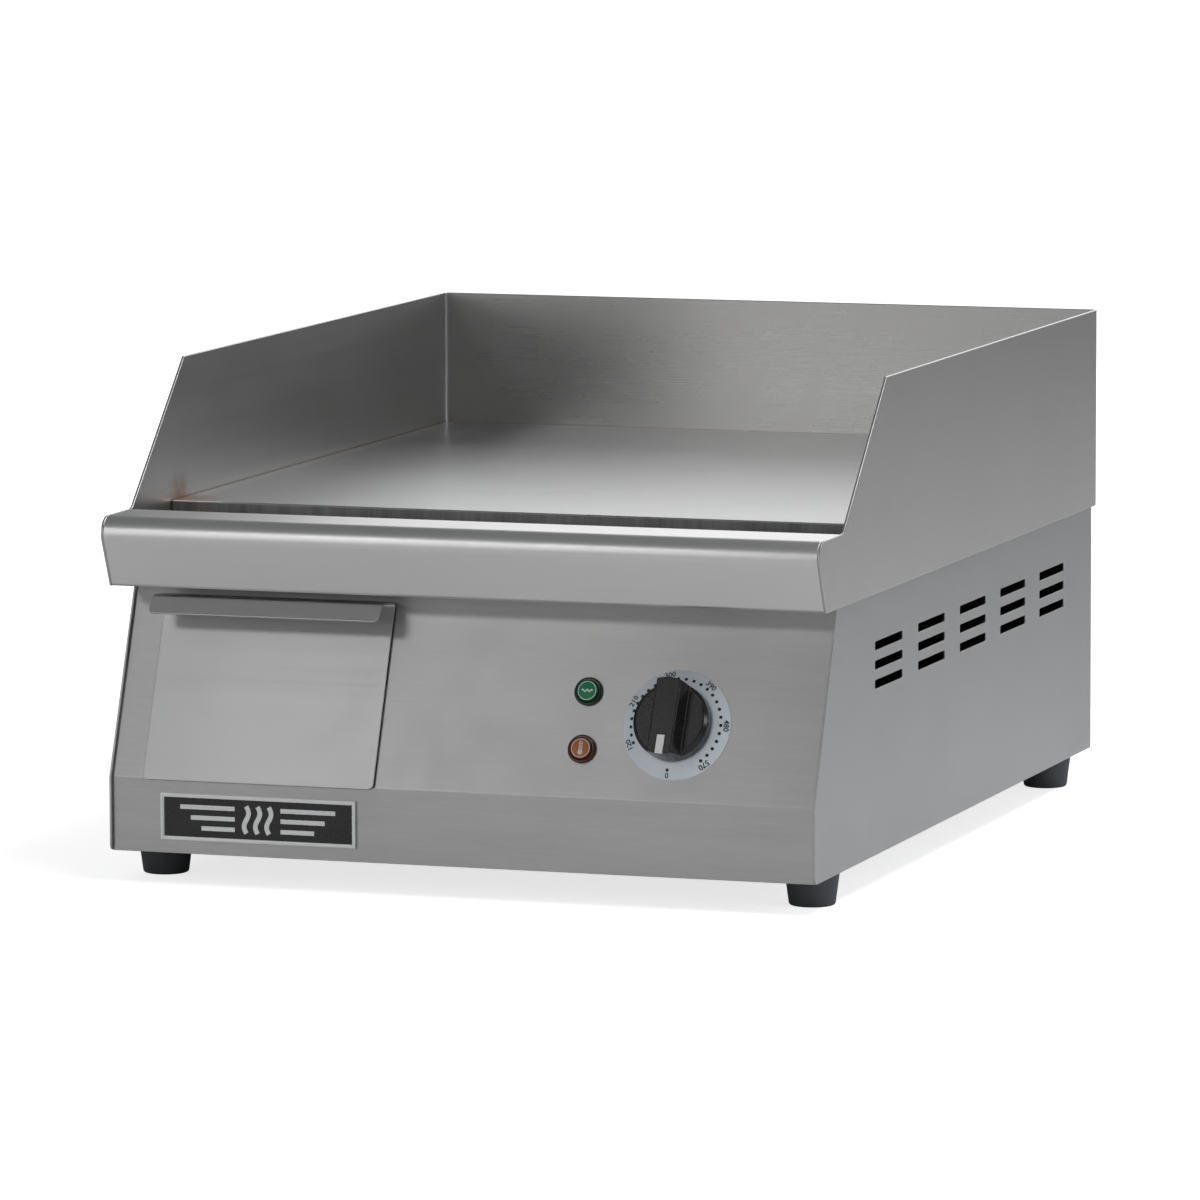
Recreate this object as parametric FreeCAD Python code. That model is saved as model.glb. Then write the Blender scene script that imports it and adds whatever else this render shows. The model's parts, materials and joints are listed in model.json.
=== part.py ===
import FreeCAD, Part
import math
import os

# Countertop electric griddle, millimetres. +X right, +Y back, +Z up, floor at Z = 0.
# The origin is the centre of the footprint, knob and cable gland included.

# ---- driving dimensions -------------------------------------------------------
casing_width = 400.0        # over the splash guard
casing_depth = 535.0        # rail nose to the back of the splash guard
foot_height = 17.0
body_height = 140.9         # underside of the body to the lower edge of the shell
shell_height = 113.1        # lower edge of the shell to the top of the splash guard
band_height = 40.0          # upright band at the bottom of the front
slope_angle = 21.1          # lean of the control panel from upright, degrees

# ---- sheet metal --------------------------------------------------------------
shell_sheet = 1.5
body_sheet = 1.2
tray_sheet = 1.0
bend_radius = 1.5
corner_radius = 2.0         # rear corners of the splash guard
fit_gap = 0.3               # named clearance between pieces that are put in place
slide_gap = 0.4             # clearance of the drawer in its bay
shaft_gap = 0.05            # radial running clearance of the shaft
overcut = 1.0               # how far a cutter runs past the face it opens
tiny = 1e-6

# ---- splash guard and rail ----------------------------------------------------
rail_height = 38.2
rail_depth = 41.6           # nose to the rear edge of the rail
rail_face_angle = 23.7      # lean of the rail's face from upright, degrees
rail_nose_radius = 9.2
rail_flange = 13.0          # drop of the rail's rear flange into the trough
rail_return = 46.0          # depth of the flange under the rail
wing_top_setback = 118.7    # nose to the front top corner of a wing
wing_root_radius = 6.0

# ---- griddle plate ------------------------------------------------------------
plate_thickness = 10.0
plate_chamfer = 0.6
plate_drop = 1.5            # plate surface below the top of the rail
plate_setback = 98.0        # nose to the plate's front face
support_leg = 16.0          # both legs of the angles that carry the plate
stud_radius = 3.0
stud_length = 17.5
stud_rows = 3
stud_front_inset = 70.0     # plate's front face to the first row of studs
stud_rear_inset = 95.0      # rear panel to the last row
stud_hole_gap = 0.3

# ---- grease trough and drain --------------------------------------------------
trough_depth = 20.0         # underside of the plate to the trough's floor
trough_overlap = 12.0       # how far the trough's rear wall stands under the plate
trough_flange = 10.0
drain_radius = 10.0
drain_wall = 1.2
drain_length = 20.0
drain_flange_radius = 15.0
drain_setback = 12.8        # front panel's top flange to the drain's axis

# ---- body panels --------------------------------------------------------------
body_inset = 3.0            # body side inside the splash guard's side
edge_setback = 1.0          # rail nose to the front edges of the side panels
panel_inset = 2.4           # front panel behind the side panels' edges
panel_flange = 14.0
side_corner_radius = 4.0    # lower front corner of each side panel
vent_columns = 5
vent_rows = 3
rear_vent_columns = 4
rear_vent_pitch = 78.0
vent_length = 50.5
vent_height = 4.8
vent_corner = 1.2
vent_pitch_z = 10.3
vent_first_setback = 132.6  # nose to the middle of the first column
vent_last_inset = 85.2      # back of the casing to the middle of the last column
vent_top_drop = 29.0        # shell's lower edge to the middle of the top row
base_flange = 15.0
base_slots = 7
base_slot_length = 60.0
base_slot_width = 5.0
base_slot_pitch = 16.0

# ---- fasteners ----------------------------------------------------------------
screw_radius = 2.0
screw_head_radius = 3.8
screw_head_height = 2.2
screw_reach = 7.0
screw_hole_gap = 0.2
rear_screw_rows = 3
rear_screw_margin = 14.0

# ---- feet ---------------------------------------------------------------------
foot_top_radius = 14.5
foot_base_radius = 12.2
foot_edge_radius = 1.5
foot_inset_x = 15.0
foot_inset_y = 43.0
foot_screw_radius = 2.5
foot_screw_head_radius = 4.5
foot_screw_head_height = 3.0
foot_recess_radius = 5.5
foot_recess_depth = 8.0
foot_nut_flats = 8.0
foot_nut_height = 4.0

# ---- drawer -------------------------------------------------------------------
drawer_width = 130.5        # front plate
drawer_plate_height = 102.6 # along the slope
drawer_plate_drop = 1.4     # plate reaches this far below the kink
drawer_margin = 18.0        # side panel's inner face to the front plate
drawer_stand_off = 1.0      # air behind the front plate
drawer_corner = 3.0
lip_depth = 20.0
lip_tilt = 17.0             # the pull's top leans down from square, degrees
lip_drop = 10.8
lip_flare = 3.6
tray_width = 114.0
tray_length = 262.0
tray_height = 58.0
tray_floor_rise = 9.0       # tray's floor above the kink
tray_corner = 5.0
bay_side = 6.0              # panel opening wider than the tray on each side
bay_above = 18.0            # panel opening above the tray
bay_below = 3.0             # and below its floor
guide_leg = 14.0

# ---- knob and thermostat ------------------------------------------------------
dial_margin = 79.6          # side panel's inner face to the dial's axis
dial_s = 41.0               # up the slope from the kink
dial_ring_radius = 29.5
dial_ring_edge = 0.6        # thickness at the rim
dial_ring_thickness = 3.2   # and at the flat land inside the cone
dial_ring_land = 21.0       # radius of that land
dial_ring_bore = 18.5
knob_radius = 20.5
knob_skirt_height = 9.5
knob_bevel = 2.0
knob_height = 19.5
knob_air = 0.8              # knob above the dial ring
grip_width = 13.2
grip_draft = 11.0           # lean of the handle's sides, degrees
grip_edge = 1.0
pointer_width = 4.2
pointer_length = 10.0
pointer_depth = 1.0
shaft_radius = 3.0
shaft_in_knob = 13.0
shaft_in_body = 9.0
shaft_flat = 0.6            # depth of the flat on the shaft
shaft_hole_radius = 5.0
knob_off_turn = 2.0         # handle's turn at the off position, clockwise, degrees
knob_hub_radius = 5.5
knob_cavity_radius = 18.2
knob_cavity_depth = 6.0
thermostat_width = 38.0
thermostat_depth = 32.0
thermostat_corner = 3.0
thermostat_tag_offset = 9.0
thermostat_screw_pitch = 28.0

# ---- indicator lights ---------------------------------------------------------
light_spacing = 50.5        # dial's axis to the lights' axes
power_light_s = 57.0
heat_light_s = 26.0
lens_radius = 7.7
lens_rim_height = 1.8
lens_dome_height = 1.6
lens_dome_radius = 6.0
lens_crown_radius = 4.2
lens_edge = 0.6
light_body_radius = 5.6
light_body_length = 26.0
light_nut_flats = 15.0
light_nut_height = 4.0
light_tag_width = 4.0
light_tag_length = 7.0
light_tag_thickness = 0.8
light_tag_offset = 2.6

# ---- heating ------------------------------------------------------------------
element_radius = 4.0
element_legs = 4
element_side_margin = 22.5  # splash guard's wall to the outer studs
element_margin = 6.0
element_air = 0.1
element_pin_radius = 2.0
element_pin_length = 12.0
element_drop = 20.0
element_bend = 12.0
clamp_width = 16.0
clamp_thickness = 3.0
nut_flats = 10.0
nut_height = 5.0
bulb_radius = 3.0
bulb_length = 90.0
bulb_ahead = 20.0           # bulb's front end ahead of the first clamp bar
capillary_radius = 1.0
capillary_bend = 7.0
capillary_lead_in = 24.0
blanket_thickness = 8.0
shield_air = 1.5            # blanket's top under the stud ends
rear_service_gap = 50.0     # open space behind the heat shield, for the leads
front_service_gap = 12.0    # and in front of it, for the capillary tube

# ---- badge --------------------------------------------------------------------
badge_width = 110.6
badge_height = 25.0
badge_thickness = 1.8
badge_margin = 27.8         # side panel's inner face to the badge
badge_rise = 19.9           # middle of the badge above the body's underside
badge_rim = 2.0
badge_recess = 0.5

# ---- wiring -------------------------------------------------------------------
terminal_width = 46.0
terminal_depth = 22.0
terminal_height = 18.0
terminal_margin = 85.8      # side panel's inner face to the terminal block's middle
terminal_setback = 100.0    # rear panel to the middle of the terminal block
terminal_poles = 3
terminal_pitch = 14.0
gland_margin = 85.8         # side panel's inner face to the gland's axis
gland_rise = 42.0           # gland's axis above the body's underside
gland_bore_radius = 4.75
gland_thread_radius = 8.0
gland_hex_flats = 22.0
gland_hex_height = 6.0
gland_cap_radius = 9.5
gland_cap_length = 12.0
gland_nut_height = 5.0
gland_thread_length = 12.0
lead_radius = 1.5
lead_bend = 6.0
lead_run = 30.0
lead_drop = 14.0
earth_ahead = 45.0          # terminal block's middle to the earth stud

# ---- derived planes and heights -----------------------------------------------
slope = math.radians(slope_angle)
half_width = casing_width / 2
z_body = foot_height
z_kink = z_body + band_height
z_skirt = z_body + body_height
z_top = z_skirt + shell_height
z_rail = z_skirt + rail_height
z_plate = z_rail - plate_drop
z_plate_under = z_plate - plate_thickness
z_trough = z_plate_under - trough_depth
x_wall = half_width - shell_sheet
x_body = half_width - body_inset
x_inside = x_body - body_sheet

# The knob's handle stands in front of the nose and the gland behind the casing.
panel_setback = edge_setback + panel_inset
knob_front = dial_ring_thickness + knob_air + knob_height
knob_ahead = knob_front * math.cos(slope) - (dial_s - knob_radius) * math.sin(slope) - panel_setback
gland_behind = gland_hex_height + gland_cap_length - shell_sheet
y_back = (casing_depth + knob_ahead - gland_behind) / 2
y_nose = y_back - casing_depth
y_edge = y_nose + edge_setback
y_panel = y_nose + panel_setback
y_rear = y_back - shell_sheet
y_plate = y_nose + plate_setback
y_rail = y_nose + rail_depth

y_shoulder = y_plate + trough_overlap + trough_flange + 2 * shell_sheet
y_shield = y_shoulder + front_service_gap
y_service = y_rear - rear_service_gap
z_panel_top = z_plate_under - shell_sheet

rail_turn = math.radians(90 + rail_face_angle)
y_rail_vertex = y_nose + rail_nose_radius * (1 - math.tan(rail_turn / 2))
y_rail_foot = y_rail_vertex + rail_height * math.tan(math.radians(rail_face_angle))

drawer_centre_x = -x_inside + drawer_margin + drawer_width / 2
badge_left = -x_inside + badge_margin
dial_x = x_inside - dial_margin
light_x = dial_x - light_spacing
terminal_x = x_inside - terminal_margin
gland_x = x_inside - gland_margin
vent_pitch_y = (casing_depth - vent_first_setback - vent_last_inset) / (vent_columns - 1)
element_leg_pitch = (x_wall - element_side_margin) / element_legs

drain_y = y_panel + (z_skirt - z_kink) * math.tan(slope) + panel_flange + drain_setback
z_tray = z_kink + tray_floor_rise
z_tray_rim = z_tray + tray_height
stud_pitch_x = element_legs * element_leg_pitch
z_element = z_plate_under - element_radius - element_air
z_clamp = z_element - element_radius - element_air - clamp_thickness
z_blanket_top = z_plate_under - stud_length - shield_air
z_shield = z_blanket_top - blanket_thickness - body_sheet

x_axis = FreeCAD.Vector(1, 0, 0)
y_axis = FreeCAD.Vector(0, 1, 0)
z_axis = FreeCAD.Vector(0, 0, 1)
slope_place = FreeCAD.Placement(
    FreeCAD.Vector(0, y_panel, z_kink),
    FreeCAD.Rotation(x_axis, 90 - slope_angle),
)


# ---- shape helpers ------------------------------------------------------------
def vec(x, y, z=0.0):
    return FreeCAD.Vector(x, y, z)


def block(x0, x1, y0, y1, z0, z1):
    return Part.makeBox(x1 - x0, y1 - y0, z1 - z0, vec(x0, y0, z0))


def rod(radius, length, base, axis=z_axis):
    return Part.makeCylinder(radius, length, base, axis)


def side_plane(x):
    """Puts flat (y, z) points on an upright plane at x."""
    return lambda p: vec(x, p.x, p.y)


def plan(z):
    """Puts flat (x, y) points on a level plane at z."""
    return lambda p: vec(p.x, p.y, z)


def corner_arc(before, at, after, radius):
    """Start, middle, end and centre of the arc that rounds one corner, and the turn's sign."""
    along = (at - before).normalize()
    onward = (after - at).normalize()
    turn = math.atan2(along.cross(onward).z, along.dot(onward))
    reach = radius * math.tan(abs(turn) / 2)
    sign = math.copysign(1, turn)
    start = at - along * reach
    end = at + onward * reach
    centre = start + vec(-along.y, along.x) * (sign * radius)
    return start, end, centre, sign


def arc_edges(corners, place, closed):
    """Lines joined by arcs; each corner is (start, middle, end), or one repeated point."""
    edges = []
    links = list(zip(corners, corners[1:]))
    if closed:
        links.append((corners[-1], corners[0]))
    for corner in corners:
        start, middle, end = (place(p) for p in corner)
        if start.distanceToPoint(end) > tiny:
            edges.append(Part.Arc(start, middle, end).toShape())
    for corner, following in links:
        start = place(corner[2])
        end = place(following[0])
        if start.distanceToPoint(end) > tiny:
            edges.append(Part.makeLine(start, end))
    return edges


def outline(points, radii, place):
    """Flat face inside a closed outline, with each corner rounded to its own radius."""
    points = [vec(*p) for p in points]
    corners = []
    for i, at in enumerate(points):
        if radii[i] == 0:
            corners.append((at, at, at))
            continue
        start, end, centre, _ = corner_arc(points[i - 1], at, points[(i + 1) % len(points)], radii[i])
        middle = centre + (at - centre).normalize() * radii[i]
        corners.append((start, middle, end))
    edges = arc_edges(corners, place, True)
    return Part.Face(Part.Wire(Part.__sortEdges__(edges)))


def strip(points, inner_radii, thickness, side, place):
    """Section of a bent sheet: one skin through the points, the sheet on its left (1) or right (-1)."""
    points = [vec(*p) for p in points]
    first = vec(-(points[1] - points[0]).y, (points[1] - points[0]).x).normalize() * (side * thickness)
    last = vec(-(points[-1] - points[-2]).y, (points[-1] - points[-2]).x).normalize() * (side * thickness)
    skin = [(points[0],) * 3]
    back = [(points[0] + first,) * 3]
    for i in range(1, len(points) - 1):
        before, at, after = points[i - 1:i + 2]
        sign = corner_arc(before, at, after, 1.0)[3]
        inside = sign * side > 0
        skin_radius = inner_radii[i - 1] + (thickness if inside else 0)
        back_radius = inner_radii[i - 1] + (0 if inside else thickness)
        start, end, centre, _ = corner_arc(before, at, after, skin_radius)
        out = (at - centre).normalize()
        skin.append((start, centre + out * skin_radius, end))
        scale = back_radius / skin_radius
        back.append((centre + (start - centre) * scale, centre + out * back_radius,
                     centre + (end - centre) * scale))
    skin.append((points[-1],) * 3)
    back.append((points[-1] + last,) * 3)
    back = [corner[::-1] for corner in reversed(back)]
    edges = arc_edges(skin + back, place, True)
    return Part.Face(Part.Wire(Part.__sortEdges__(edges)))


def slope_y(z, out=0.0):
    """Y of the control panel's plane at height z, moved outwards along its normal."""
    return y_panel + (z - z_kink) * math.tan(slope) - out / math.cos(slope)


def on_slope(shape):
    """Carries a shape from the panel's own frame (x, up the slope, outwards) to the model's."""
    placed = shape.copy()
    placed.Placement = slope_place.multiply(placed.Placement)
    return placed


def hex_prism(flats, height, base, axis=z_axis):
    """Six-sided prism standing on base along axis, given its size across flats."""
    radius = flats / math.sqrt(3)
    ring = [vec(radius * math.cos(math.radians(60 * i)), radius * math.sin(math.radians(60 * i)))
            for i in range(6)]
    prism = Part.Face(Part.makePolygon(ring + ring[:1])).extrude(z_axis * height)
    prism.Placement = FreeCAD.Placement(base, FreeCAD.Rotation(z_axis, axis))
    return prism


def screw(base, axis):
    """Pan-head screw whose head stands on base, with the shank going the other way."""
    head = rod(screw_head_radius, screw_head_height, vec(0, 0, 0))
    top_edge = [e for e in head.Edges if e.BoundBox.ZMin > screw_head_height / 2]
    head = head.makeFillet(screw_head_height / 2, top_edge)
    body = head.fuse(rod(screw_radius, screw_reach, vec(0, 0, -screw_reach)))
    body.Placement = FreeCAD.Placement(base, FreeCAD.Rotation(z_axis, axis))
    return body


def tube(points, radius, bend):
    """Round bar along straight runs joined by tangent arcs."""
    points = [vec(*p) for p in points]
    edges = []
    here = points[0]
    for before, at, after in zip(points, points[1:], points[2:]):
        along = (at - before).normalize()
        onward = (after - at).normalize()
        half = along.getAngle(onward) / 2
        reach = bend * math.tan(half)
        start = at - along * reach
        end = at + onward * reach
        inward = (onward - along).normalize()
        centre = at + inward * (bend / math.cos(half))
        edges.append(Part.makeLine(here, start))
        edges.append(Part.Arc(start, centre - inward * bend, end).toShape())
        here = end
    edges.append(Part.makeLine(here, points[-1]))
    path = Part.Wire(edges)
    section = Part.Wire(Part.makeCircle(radius, points[0], points[1] - points[0]))
    return path.makePipeShell([section], True, False)


def save(node, *solids):
    """Writes one node: a single solid, or its separate solids as a group."""
    shape = solids[0] if len(solids) == 1 else Part.makeCompound(list(solids))
    shape.exportStep(os.path.join("parts", node + ".step"))


# ---- upper shell --------------------------------------------------------------
def splash_guard():
    """One sheet bent round the back, its sides cut to the wings and the ends of the rail."""
    walls = strip(
        [(half_width, y_nose), (half_width, y_back), (-half_width, y_back), (-half_width, y_nose)],
        [corner_radius, corner_radius], shell_sheet, 1, plan(z_skirt),
    ).extrude(z_axis * shell_height)
    silhouette = outline(
        [(y_back, z_skirt), (y_back, z_top), (y_nose + wing_top_setback, z_top), (y_rail, z_rail),
         (y_rail_vertex, z_rail), (y_rail_foot, z_skirt)],
        [0, 0, 0, wing_root_radius, rail_nose_radius, 0], side_plane(-half_width),
    ).extrude(x_axis * casing_width)
    return walls.common(silhouette)


def front_rail():
    """Formed sheet between the wings: rear flange, level top, round nose, leaning face, return."""
    return strip(
        [(y_rail, z_rail - rail_flange), (y_rail, z_rail), (y_rail_vertex, z_rail),
         (y_rail_foot, z_skirt), (y_rail_foot + rail_return, z_skirt)],
        [bend_radius, rail_nose_radius - shell_sheet, bend_radius], shell_sheet, 1, side_plane(-x_wall),
    ).extrude(x_axis * (2 * x_wall))


def griddle_plate():
    half = x_wall - fit_gap
    plate = block(-half, half, y_plate, y_rear - fit_gap, z_plate_under, z_plate)
    rear_edges = [e for e in plate.Edges
                  if e.BoundBox.YMin > y_plate + overcut and e.BoundBox.ZLength > plate_thickness / 2]
    plate = plate.makeFillet(corner_radius + fit_gap, rear_edges)
    front_edge = [e for e in plate.Edges
                  if e.BoundBox.YMax < y_plate + tiny and e.BoundBox.ZMin > z_plate - tiny]
    return plate.makeChamfer(plate_chamfer, front_edge)


def plate_support(side):
    """Angle that spaces the shell from the body panel and carries the plate's edge."""
    inner = side * (x_wall - support_leg)
    level = block(min(inner, side * x_wall), max(inner, side * x_wall), y_shoulder,
                  y_rear - corner_radius, z_panel_top, z_plate_under)
    upright = block(min(side * x_body, side * x_wall), max(side * x_body, side * x_wall), y_shoulder,
                    y_rear - corner_radius, z_plate_under - support_leg, z_plate_under)
    return level.fuse(upright).removeSplitter()


def stud_places():
    """Where the clamping studs stand under the plate."""
    first = y_plate + stud_front_inset
    last = y_rear - stud_rear_inset
    for row in range(stud_rows):
        for column in (-1, 0, 1):
            yield column * stud_pitch_x, first + (last - first) * row / (stud_rows - 1)


def plate_studs():
    return [rod(stud_radius, stud_length, vec(x, y, z_plate_under - stud_length))
            for x, y in stud_places()]


def grease_trough():
    """Channel from behind the rail's flange to a flange under the plate, with the drain hole."""
    front = y_rail - 2 * shell_sheet
    under = z_trough - shell_sheet
    rear = y_plate + trough_overlap
    trough = strip(
        [(front, z_rail - 3 * shell_sheet), (front, under), (rear, under),
         (rear, z_panel_top), (rear + trough_flange, z_panel_top)],
        [bend_radius] * 3, shell_sheet, 1, side_plane(-x_wall),
    ).extrude(x_axis * (2 * x_wall))
    hole = rod(drain_radius + fit_gap, 2 * trough_depth, vec(drawer_centre_x, drain_y, under - trough_depth))
    return trough.cut(hole)


def drain_spout():
    """Flanged tube through the trough's floor, over the drawer."""
    top = vec(drawer_centre_x, drain_y, z_trough)
    down = z_axis * -1
    flange = rod(drain_flange_radius, drain_wall, top)
    pipe = rod(drain_radius, drain_length, top, down)
    bore = rod(drain_radius - drain_wall, 2 * drain_length, top + z_axis * drain_length, down)
    return flange.fuse(pipe).cut(bore)


# ---- heating ------------------------------------------------------------------
def element_legs_x(side):
    """X of one element's legs, outermost first."""
    return [side * element_leg_pitch * (element_legs - 0.5 - i) for i in range(element_legs)]


def heating_element(side):
    """Tube bent to and fro under one half of the plate, its two ends turned down at the back."""
    xs = element_legs_x(side)
    near = y_shield + element_margin + element_radius
    far = y_service - element_margin - element_radius
    tail = y_rear - rear_service_gap / 2
    low = z_element - element_drop
    route = [(xs[0], tail, low), (xs[0], tail, z_element)]
    for i in range(element_legs - 1):
        y = near if i % 2 == 0 else far
        route += [(xs[i], y, z_element), (xs[i + 1], y, z_element)]
    route += [(xs[-1], tail, z_element), (xs[-1], tail, low)]
    bar = tube(route, element_radius, element_bend)
    pins = [rod(element_pin_radius, element_pin_length, vec(x, tail, low - element_pin_length))
            for x in (xs[0], xs[-1])]
    return bar.multiFuse(pins)


def clamp_rows():
    return sorted({y for _, y in stud_places()})


def element_clamps():
    """Flat bars that press both elements to the plate."""
    reach = stud_pitch_x + clamp_width / 2
    bars = []
    for row_y in clamp_rows():
        bar = block(-reach, reach, row_y - clamp_width / 2, row_y + clamp_width / 2,
                    z_clamp, z_clamp + clamp_thickness)
        for x, y in stud_places():
            if y == row_y:
                bar = bar.cut(rod(stud_radius + stud_hole_gap, 2 * clamp_thickness,
                                  vec(x, y, z_clamp - clamp_thickness / 2)))
        bars.append(bar)
    return bars


def clamp_nuts():
    return [hex_prism(nut_flats, nut_height, vec(x, y, z_clamp - nut_height)).cut(
                rod(stud_radius, 2 * nut_height, vec(x, y, z_clamp - 1.5 * nut_height)))
            for x, y in stud_places()]


def heat_shield():
    """Open tray that holds the insulation, its sides against the body panels."""
    rim = z_blanket_top + fit_gap
    outer = block(-x_inside, x_inside, y_shield, y_service, z_shield, rim)
    inner = block(-x_inside + body_sheet, x_inside - body_sheet, y_shield + body_sheet,
                  y_service - body_sheet, z_shield + body_sheet, rim + overcut)
    return outer.cut(inner)


def insulation_blanket():
    inset = body_sheet + fit_gap
    return block(-x_inside + inset, x_inside - inset, y_shield + inset, y_service - inset,
                 z_shield + body_sheet, z_blanket_top)


def bulb_front():
    """Front end of the sensor bulb, midway between two legs that no bend joins in front."""
    return vec(2 * element_leg_pitch, clamp_rows()[0] - bulb_ahead, z_plate_under - bulb_radius - element_air)


def sensor_bulb():
    bulb = rod(bulb_radius, bulb_length, bulb_front(), y_axis)
    rims = [e for e in bulb.Edges if e.BoundBox.YLength < overcut]
    return bulb.makeFillet(bulb_radius / 2, rims)


def bulb_saddle():
    """Small block between the clamp bar and the bulb."""
    x = bulb_front().x
    row_y = clamp_rows()[0]
    top = z_plate_under - 2 * (bulb_radius + element_air)
    return block(x - 2 * bulb_radius, x + 2 * bulb_radius, row_y - clamp_width / 2, row_y + clamp_width / 2,
                 z_clamp + clamp_thickness, top)


def capillary_tube():
    """Fine tube from the bulb, down in front of the heat shield and into the thermostat's back."""
    start = bulb_front()
    drop_y = (y_shoulder + y_shield) / 2
    end = slope_place.multVec(vec(dial_x, dial_s, -body_sheet - thermostat_depth))
    lead_in = slope_place.multVec(vec(dial_x, dial_s, -body_sheet - thermostat_depth - capillary_lead_in))
    return tube([tuple(start), (start.x, drop_y, start.z), (start.x, drop_y, lead_in.z),
                 (dial_x, drop_y, lead_in.z), tuple(lead_in), tuple(end)], capillary_radius, capillary_bend)


# ---- body panels --------------------------------------------------------------
def vent_slot(y, z):
    """Cutter for one slot, through both side panels."""
    half_length = vent_length / 2
    half_height = vent_height / 2
    face = outline(
        [(y - half_length, z - half_height), (y + half_length, z - half_height),
         (y + half_length, z + half_height), (y - half_length, z + half_height)],
        [vent_corner] * 4, side_plane(-half_width),
    )
    return face.extrude(x_axis * casing_width)


def vent_slots():
    return [vent_slot(y_nose + vent_first_setback + column * vent_pitch_y,
                      z_skirt - vent_top_drop - row * vent_pitch_z)
            for column in range(vent_columns) for row in range(vent_rows)]


def side_panel(side):
    """Flat side with the slope's front edge, the vents and a flange turned in at the back."""
    left = side * x_body if side < 0 else x_inside
    lean = (z_skirt - z_kink) * math.tan(slope)
    sheet = outline(
        [(y_edge, z_body), (y_rear, z_body), (y_rear, z_skirt), (y_rear - corner_radius, z_skirt),
         (y_rear - corner_radius, z_panel_top), (y_shoulder, z_panel_top), (y_shoulder, z_skirt),
         (y_edge + lean, z_skirt), (y_edge, z_kink)],
        [side_corner_radius] + [0] * 8, side_plane(left),
    ).extrude(x_axis * body_sheet)
    sheet = sheet.cut(Part.makeCompound(vent_slots()))
    inner = side * (x_inside - panel_flange)
    flange = block(min(inner, side * x_inside), max(inner, side * x_inside),
                   y_rear - 2 * body_sheet, y_rear - body_sheet,
                   z_body + base_flange + fit_gap, z_panel_top)
    flange = flange.cut(Part.makeCompound(rear_screw_holes()))
    return sheet.fuse(flange).removeSplitter()


def light_places():
    return {"power_light": power_light_s, "heat_light": heat_light_s}


def thermostat_screw_places():
    return [vec(dial_x + side * thermostat_screw_pitch / 2, dial_s, 0) for side in (-1, 1)]


def front_panel():
    """Kinked sheet between the sides, with the drawer's bay, the shaft's and the lights' holes."""
    top_y = slope_y(z_skirt)
    sheet = strip(
        [(y_panel, z_body), (y_panel, z_kink), (top_y, z_skirt), (top_y + panel_flange, z_skirt)],
        [bend_radius] * 2, body_sheet, -1, side_plane(-x_inside),
    ).extrude(x_axis * (2 * x_inside))
    reach = tray_width / 2 + bay_side
    bay = block(drawer_centre_x - reach, drawer_centre_x + reach, y_nose, slope_y(z_skirt) + panel_flange,
                z_tray - bay_below, z_tray_rim + bay_above)
    through = 4 * body_sheet
    holes = [rod(shaft_hole_radius, through, vec(dial_x, dial_s, -through / 2))]
    holes += [rod(light_body_radius + fit_gap, through, vec(light_x, s, -through / 2))
              for s in light_places().values()]
    holes += [rod(screw_radius + screw_hole_gap, through, p - z_axis * (through / 2))
              for p in thermostat_screw_places()]
    return sheet.cut(bay).cut(Part.makeCompound([on_slope(h) for h in holes]))


def rear_screw_places():
    """Screws that hold the rear panel to the flanges of both sides."""
    low = z_body + base_flange + rear_screw_margin
    high = z_skirt - rear_screw_margin
    for side in (-1, 1):
        for row in range(rear_screw_rows):
            yield side * (x_inside - panel_flange / 2), low + (high - low) * row / (rear_screw_rows - 1)


def rear_screw_holes():
    through = 8 * body_sheet
    return [rod(screw_radius + screw_hole_gap, through, vec(x, y_rear - through / 2, z), y_axis)
            for x, z in rear_screw_places()]


def rear_screws():
    return [screw(vec(x, y_rear, z), y_axis) for x, z in rear_screw_places()]


def rear_panel():
    """Flat back with the cable gland's hole and rows of vents."""
    panel = block(-x_inside, x_inside, y_rear - body_sheet, y_rear, z_body, z_panel_top)
    gland_hole = rod(gland_thread_radius + fit_gap, 4 * body_sheet,
                     vec(gland_x, y_rear - 2 * body_sheet, z_body + gland_rise), y_axis)
    slots = []
    for row in range(vent_rows):
        z = z_skirt - vent_top_drop - row * vent_pitch_z
        for column in range(rear_vent_columns):
            x = (column - (rear_vent_columns - 1) / 2) * rear_vent_pitch
            slots.append(block(x - vent_length / 2, x + vent_length / 2, y_rear - 2 * body_sheet,
                               y_rear + body_sheet, z - vent_height / 2, z + vent_height / 2))
    return panel.cut(Part.makeCompound([gland_hole] + slots + rear_screw_holes()))


def foot_places():
    """Centre of each foot at floor level, by name."""
    places = {}
    for end, y in (("front", y_edge + foot_inset_y), ("rear", y_rear - foot_inset_y)):
        for hand, side in (("left", -1), ("right", 1)):
            places["foot_" + end + "_" + hand] = vec(side * (x_body - foot_inset_x), y, 0)
    return places


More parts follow.
